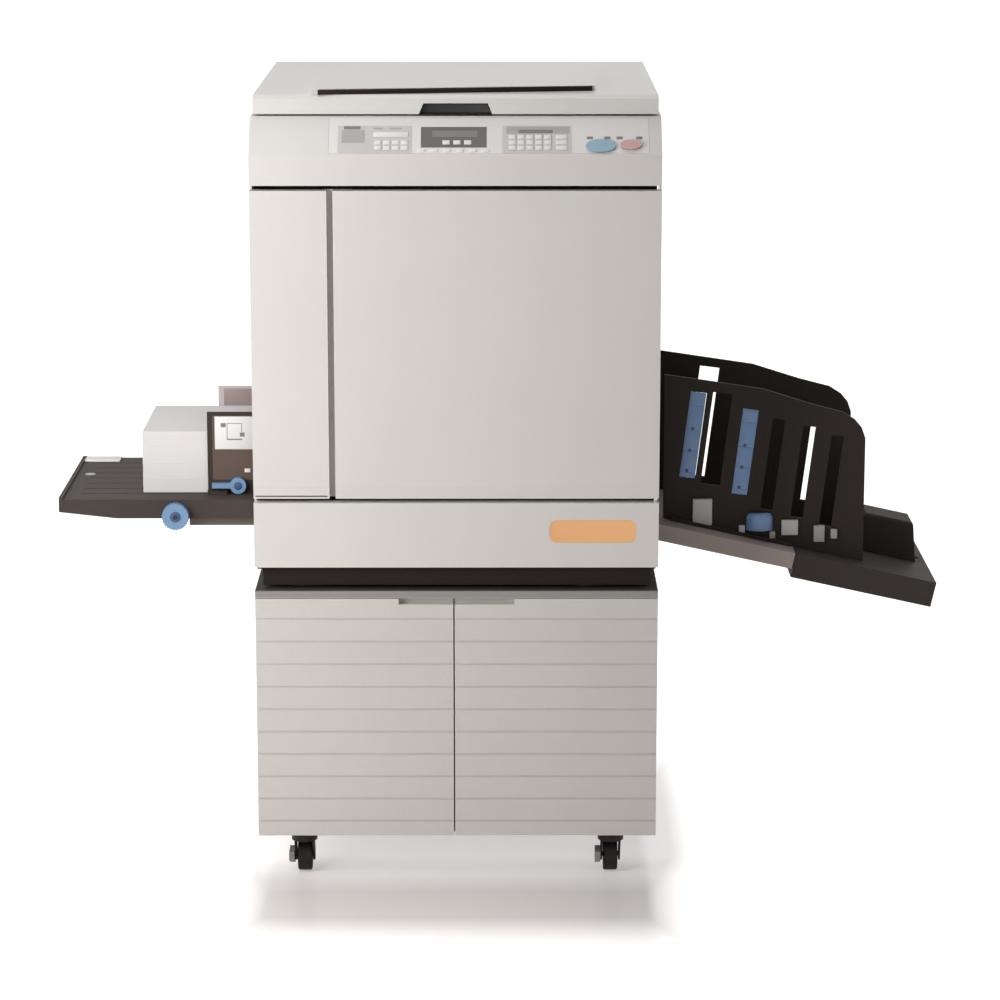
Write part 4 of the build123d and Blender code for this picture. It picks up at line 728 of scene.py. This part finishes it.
rear_guide_low, rear_guide_high = span("feed_guide_rear")
inner_plate = add_block((rear_guide_low.x + 9 * MM, rear_guide_low.y - 0.7 * MM,
                         stack_high.z + 0.6 * MM),
                        (rear_guide_high.x - 1 * MM, rear_guide_low.y + 0.2 * MM,
                         rear_guide_high.z - 3.5 * MM))
soften(inner_plate, 0.4 * MM, 2)
inner_plate = finish_piece(inner_plate, "rear_guide_plate", box_mauve, "feed_guide_rear")

dial_low, dial_high = span("position_dial")
hub = add_disc(((dial_low.x + dial_high.x) / 2, dial_low.y - 0.3 * MM,
                (dial_low.z + dial_high.z) / 2), 8.5 * MM, 1.4 * MM, "Y")
soften(hub, 0.4 * MM, 2)
hub = finish_piece(hub, "dial_hub", deep_blue, "position_dial")
lever_low, lever_high = span("guide_lock_lever")
mark = add_disc((lever_high.x - 12.7 * MM, lever_low.y - 0.2 * MM, lever_high.z - 12.7 * MM),
                6.5 * MM, 1.0 * MM, "Y")
soften(mark, 0.3 * MM, 2)
mark = finish_piece(mark, "lever_disc", deep_blue, "guide_lock_lever")

tray_low, tray_high = span("feed_tray")
scale_strip = add_block((tray_low.x + 2 * MM, tray_high.y - 34 * MM, stack_low.z - 0.5 * MM),
                        (tray_low.x + 64 * MM, tray_high.y - 1 * MM, stack_low.z + 2.4 * MM))
soften(scale_strip, 1.0 * MM, 3)
scale_strip = finish_piece(scale_strip, "tray_scale", label_white, "feed_tray")
eye = add_disc((tray_low.x + 27 * MM, 40 * MM, stack_low.z - 0.77 * MM), 9 * MM, 1.6 * MM)
soften(eye, 0.4 * MM, 2)
eye = finish_piece(eye, "paper_eye", key_grey, "feed_tray")
print("feed guide dressed")

# %% [markdown]
# ## The receiving side
# The blue arrangers are strips in segments of unequal length, so each gets five
# raised pads. The front guide has pale blocks along its foot and a round blue
# lock knob, made from a drum with a well rounded top, cut off by a bisect.

# %% Arranger pads
LEAN = math.radians(7.0)
ARRANGER_LENGTH = 136.0 * MM
ARRANGER_HALF_DEPTH = 1.5 * MM
PAD_ENDS = ((0.0, 0.15), (0.15, 0.44), (0.44, 0.68), (0.68, 0.94), (0.94, 1.0))
CATCH_PLACES = (0.42, 0.68, 0.92)


def leaning_block(centre, width, height, low_y, high_y, offset):
    """A block that leans like the slots, offset along its own height."""
    block = add_block((-width / 2, low_y, -height / 2), (width / 2, high_y, height / 2))
    turn = Matrix.Rotation(LEAN, 4, "Y")
    along = turn @ Vector((0, 0, offset))
    block.data.transform(Matrix.Translation(Vector((centre.x, 0, centre.z)) + along) @ turn)
    return block


def arranger_face(name):
    """The middle of an arranger, and the Y of its front face."""
    low, high = span(name)
    centre = (low + high) / 2
    return centre, centre.y - ARRANGER_HALF_DEPTH


def model_pads(name):
    """Raised pads down one arranger, divided where the photograph shows joints."""
    centre, face = arranger_face(name)
    pads = []
    for top, bottom in PAD_ENDS:
        offset = (0.5 - (top + bottom) / 2) * ARRANGER_LENGTH
        height = (bottom - top) * ARRANGER_LENGTH - 1.0 * MM
        pads.append(leaning_block(centre, 22.5 * MM, height, face - 0.8 * MM, face + 0.4 * MM,
                                  offset))
    piece = join_pieces(pads)
    soften(piece, 0.4 * MM, 2)
    return piece


def model_catches(name):
    """Small square catches beside the joints of one arranger."""
    centre, face = arranger_face(name)
    catches = []
    for share in CATCH_PLACES:
        catch = leaning_block(centre, 5 * MM, 5 * MM, face - 1.2 * MM, face - 0.6 * MM,
                              (0.5 - share) * ARRANGER_LENGTH)
        catch.data.transform(Matrix.Translation((-2 * MM, 0, 0)))
        catches.append(catch)
    return join_pieces(catches)


for arranger in ("arranger_left", "arranger_right"):
    pads = finish_piece(model_pads(arranger), arranger + "_pads", hand_blue, arranger)
    catches = finish_piece(model_catches(arranger), arranger + "_catches", deep_blue, arranger)

# %% Guide knob and pale blocks
guide_outer_y = span("receiving_guide_front")[0].y


def model_knob():
    """Half a drum on the front guide, its upper edge well rounded and its depth squeezed."""
    squeeze = 0.7
    centre = Vector((right_x + 169.8 * MM, guide_outer_y + 6 * MM, 522 * MM))
    knob = add_disc(centre, 21 * MM, 27 * MM, "Z", 56)
    select_faces(knob, (0, 0, 1))
    bpy.ops.mesh.bevel(offset=8 * MM, segments=6, affect="EDGES")
    bpy.ops.mesh.select_all(action="SELECT")
    bpy.ops.mesh.bisect(plane_co=centre, plane_no=(0, 1, 0), use_fill=True, clear_outer=True)
    bpy.ops.object.mode_set(mode="OBJECT")
    for vertex in knob.data.vertices:
        vertex.co.y = centre.y + (vertex.co.y - centre.y) * squeeze
    soften(knob, 0.8 * MM, 2)
    return knob


knob = finish_piece(model_knob(), "guide_knob", hand_blue, "receiving_guide_front")


def guide_blocks(name, finish, places):
    """Small blocks along the foot of the front guide: mm off the body, mm up."""
    pieces = []
    for left, right, low, high in places:
        pieces.append(add_block((right_x + left * MM, guide_outer_y + 2 * MM, low * MM),
                                (right_x + right * MM, guide_outer_y + 9.4 * MM, high * MM)))
    blocks = join_pieces(pieces)
    soften(blocks, 0.8 * MM, 2)
    return finish_piece(blocks, name, finish, "receiving_guide_front")


pale = guide_blocks("guide_blocks", label_white,
                    ((64.3, 94.9, 516, 558), (205, 231, 500, 524), (137.5, 147, 501, 515.5)))
dull = guide_blocks("guide_dull_blocks", guide_pale,
                    ((256, 273, 489, 515), (283, 293, 494.4, 509), (186, 195, 494.4, 505.8)))
print("receiving guide dressed")

# %% [markdown]
# ## The badge plate
# The photograph shows an orange plate with words on the base panel. The words
# are left off, so the plate is bare: a rounded plate with a raised rim.

# %% Badge plate
def model_badge():
    """A flat plate with round ends and a thin raised rim."""
    low = Vector((body_x + 141.2 * MM, front_y + 0.1 * MM, base_low.z + 38.8 * MM))
    high = Vector((body_x + 272.0 * MM, front_y + 0.98 * MM, base_low.z + 73.5 * MM))
    plate = add_block(low, high)
    select_only(plate)
    bpy.ops.object.mode_set(mode="EDIT")
    bpy.ops.mesh.select_mode(type="EDGE")
    bpy.ops.mesh.select_all(action="DESELECT")
    mesh = bmesh.from_edit_mesh(plate.data)
    for edge in mesh.edges:
        along = (edge.verts[1].co - edge.verts[0].co).normalized()
        if abs(along.y) > 0.9:
            edge.select = True
    bmesh.update_edit_mesh(plate.data)
    bpy.ops.mesh.bevel(offset=12 * MM, segments=10, affect="EDGES")
    bpy.ops.object.mode_set(mode="OBJECT")
    sink_face(plate, (0, -1, 0), 1.4 * MM, 0.25 * MM)
    select_only(plate)
    bpy.ops.object.shade_smooth_by_angle(angle=SMOOTH_UP_TO)
    return plate


badge = finish_piece(model_badge(), "badge_plate", badge_orange, "machine")
print("badge plate:", len(badge.data.polygons), "faces")

# %% [markdown]
# ## Floor, light and camera
# The floor is a wide pale sheet. It shows white to the camera, with a patch of
# painted shade under and just in front of the cabinet, where it also keeps the real
# shadow and a reflection. The key light stands close on the front left, as in the
# photograph, where the casings fall off in tone from left to right. The camera
# stands a little above the lid and looks down at the middle of the object.

# %% Floor
# the floor's glow: low in the patch of painted shade, high where the floor is clear
GLOW_IN_PAINTED_SHADE = 0.06
GLOW_IN_CLEAR = 0.80


def white_ray(tree):
    """One for a camera, mirror or glass ray, nought for the rays that carry light."""
    path = tree.nodes.new("ShaderNodeLightPath")
    clear_ray = add_math(tree, "MAXIMUM", path.outputs["Is Camera Ray"],
                         path.outputs["Is Transmission Ray"])
    return add_math(tree, "MAXIMUM", clear_ray, path.outputs["Is Glossy Ray"])


def studio_floor():
    """A smooth pale sheet that looks white, with a patch of painted shade at the cabinet, and
    keeps shadow and a faint reflection.
    """
    bpy.ops.object.select_all(action="DESELECT")
    bpy.ops.mesh.primitive_plane_add(size=60, location=(0, 0, 0))
    floor = bpy.context.active_object
    floor.name = "studio_floor"
    material, tree, shader, coords = new_finish("floor_white")
    slow = add_noise(tree, coords, 0.6, 2.0)
    factor = add_range(tree, slow, 0.3, 0.7, 0.0, 1.0)
    tree.links.new(add_mix(tree, factor, (0.86, 0.815, 0.790), (0.88, 0.835, 0.810)),
                   shader.inputs["Base Color"])
    shader.inputs["Roughness"].default_value = 0.22
    shader.inputs["Emission Color"].default_value = (1.0, 0.99, 0.985, 1.0)
    # metres: nought in the patch of painted shade under and in front of the cabinet, one where the
    # floor is clear
    place = tree.nodes.new("ShaderNodeSeparateXYZ")
    tree.links.new(coords, place.inputs["Vector"])
    centred = add_math(tree, "SUBTRACT", place.outputs["X"], body_x)
    aside = add_range(tree, add_math(tree, "ABSOLUTE", centred), 0.29, 0.37, 0.0, 1.0)
    ahead = add_range(tree, place.outputs["Y"], front_y - 0.34, front_y - 0.16, 1.0, 0.0)
    beneath = add_range(tree, place.outputs["Y"], front_y - 0.05, front_y + 0.12, 0.0, 0.6)
    behind = add_range(tree, place.outputs["Y"], front_y + 0.30, front_y + 0.70, 0.0, 1.0)
    under = add_math(tree, "MAXIMUM", beneath, behind)
    clear = add_math(tree, "MAXIMUM", add_math(tree, "MAXIMUM", aside, ahead), under)
    glow = add_range(tree, clear, 0.0, 1.0, GLOW_IN_PAINTED_SHADE, GLOW_IN_CLEAR)
    seen = add_math(tree, "MULTIPLY", white_ray(tree), glow)
    tree.links.new(seen, shader.inputs["Emission Strength"])
    floor.data.materials.append(material)
    return floor


studio_floor()

# %% Light
world = bpy.data.worlds.new("studio")
bpy.context.scene.world = world
world.use_nodes = True
tree = world.node_tree
background = tree.nodes["Background"]
background.inputs["Color"].default_value = (1, 1, 1, 1)
strength = tree.nodes.new("ShaderNodeMapRange")
strength.inputs["To Min"].default_value = 0.13
strength.inputs["To Max"].default_value = 1.0
tree.links.new(white_ray(tree), strength.inputs["Value"])
tree.links.new(strength.outputs["Result"], background.inputs["Strength"])


def add_area(name, place, target, size, power):
    """A soft square light that looks at a target."""
    bpy.ops.object.select_all(action="DESELECT")
    bpy.ops.object.light_add(type="AREA", location=place)
    lamp = bpy.context.active_object
    lamp.name = name
    lamp.data.size = size
    lamp.data.energy = power
    aim = Vector(target) - Vector(place)
    lamp.rotation_euler = aim.to_track_quat("-Z", "Y").to_euler()
    return lamp


add_area("key_light", (-1.35, -1.25, 1.2), (-0.2, -0.3, 0.65), 1.1, 26)
add_area("fill_light", (-0.8, -4.8, 2.0), (-0.1, 0, 0.6), 2.4, 8)
add_area("top_light", (-0.3, 0.35, 4.2), (0, 0, 0.9), 1.6, 42)

# %% Camera
CAMERA_PLACE = (-0.0033, -5.1066, 1.7007)
LOOKS_DOWN = 0.2064
LOOKS_RIGHT = 0.001
bpy.ops.object.select_all(action="DESELECT")
bpy.ops.object.camera_add(location=CAMERA_PLACE)
camera = bpy.context.active_object
camera.rotation_euler = (math.pi / 2 - LOOKS_DOWN, 0, -LOOKS_RIGHT)
camera.data.lens = 117.1
camera.data.sensor_width = 36
camera.data.shift_y = -0.06
camera.data.clip_end = 200
bpy.context.scene.camera = camera
scene = bpy.context.scene
scene.view_settings.view_transform = "Standard"
print("camera at", tuple(round(v, 3) for v in camera.location))
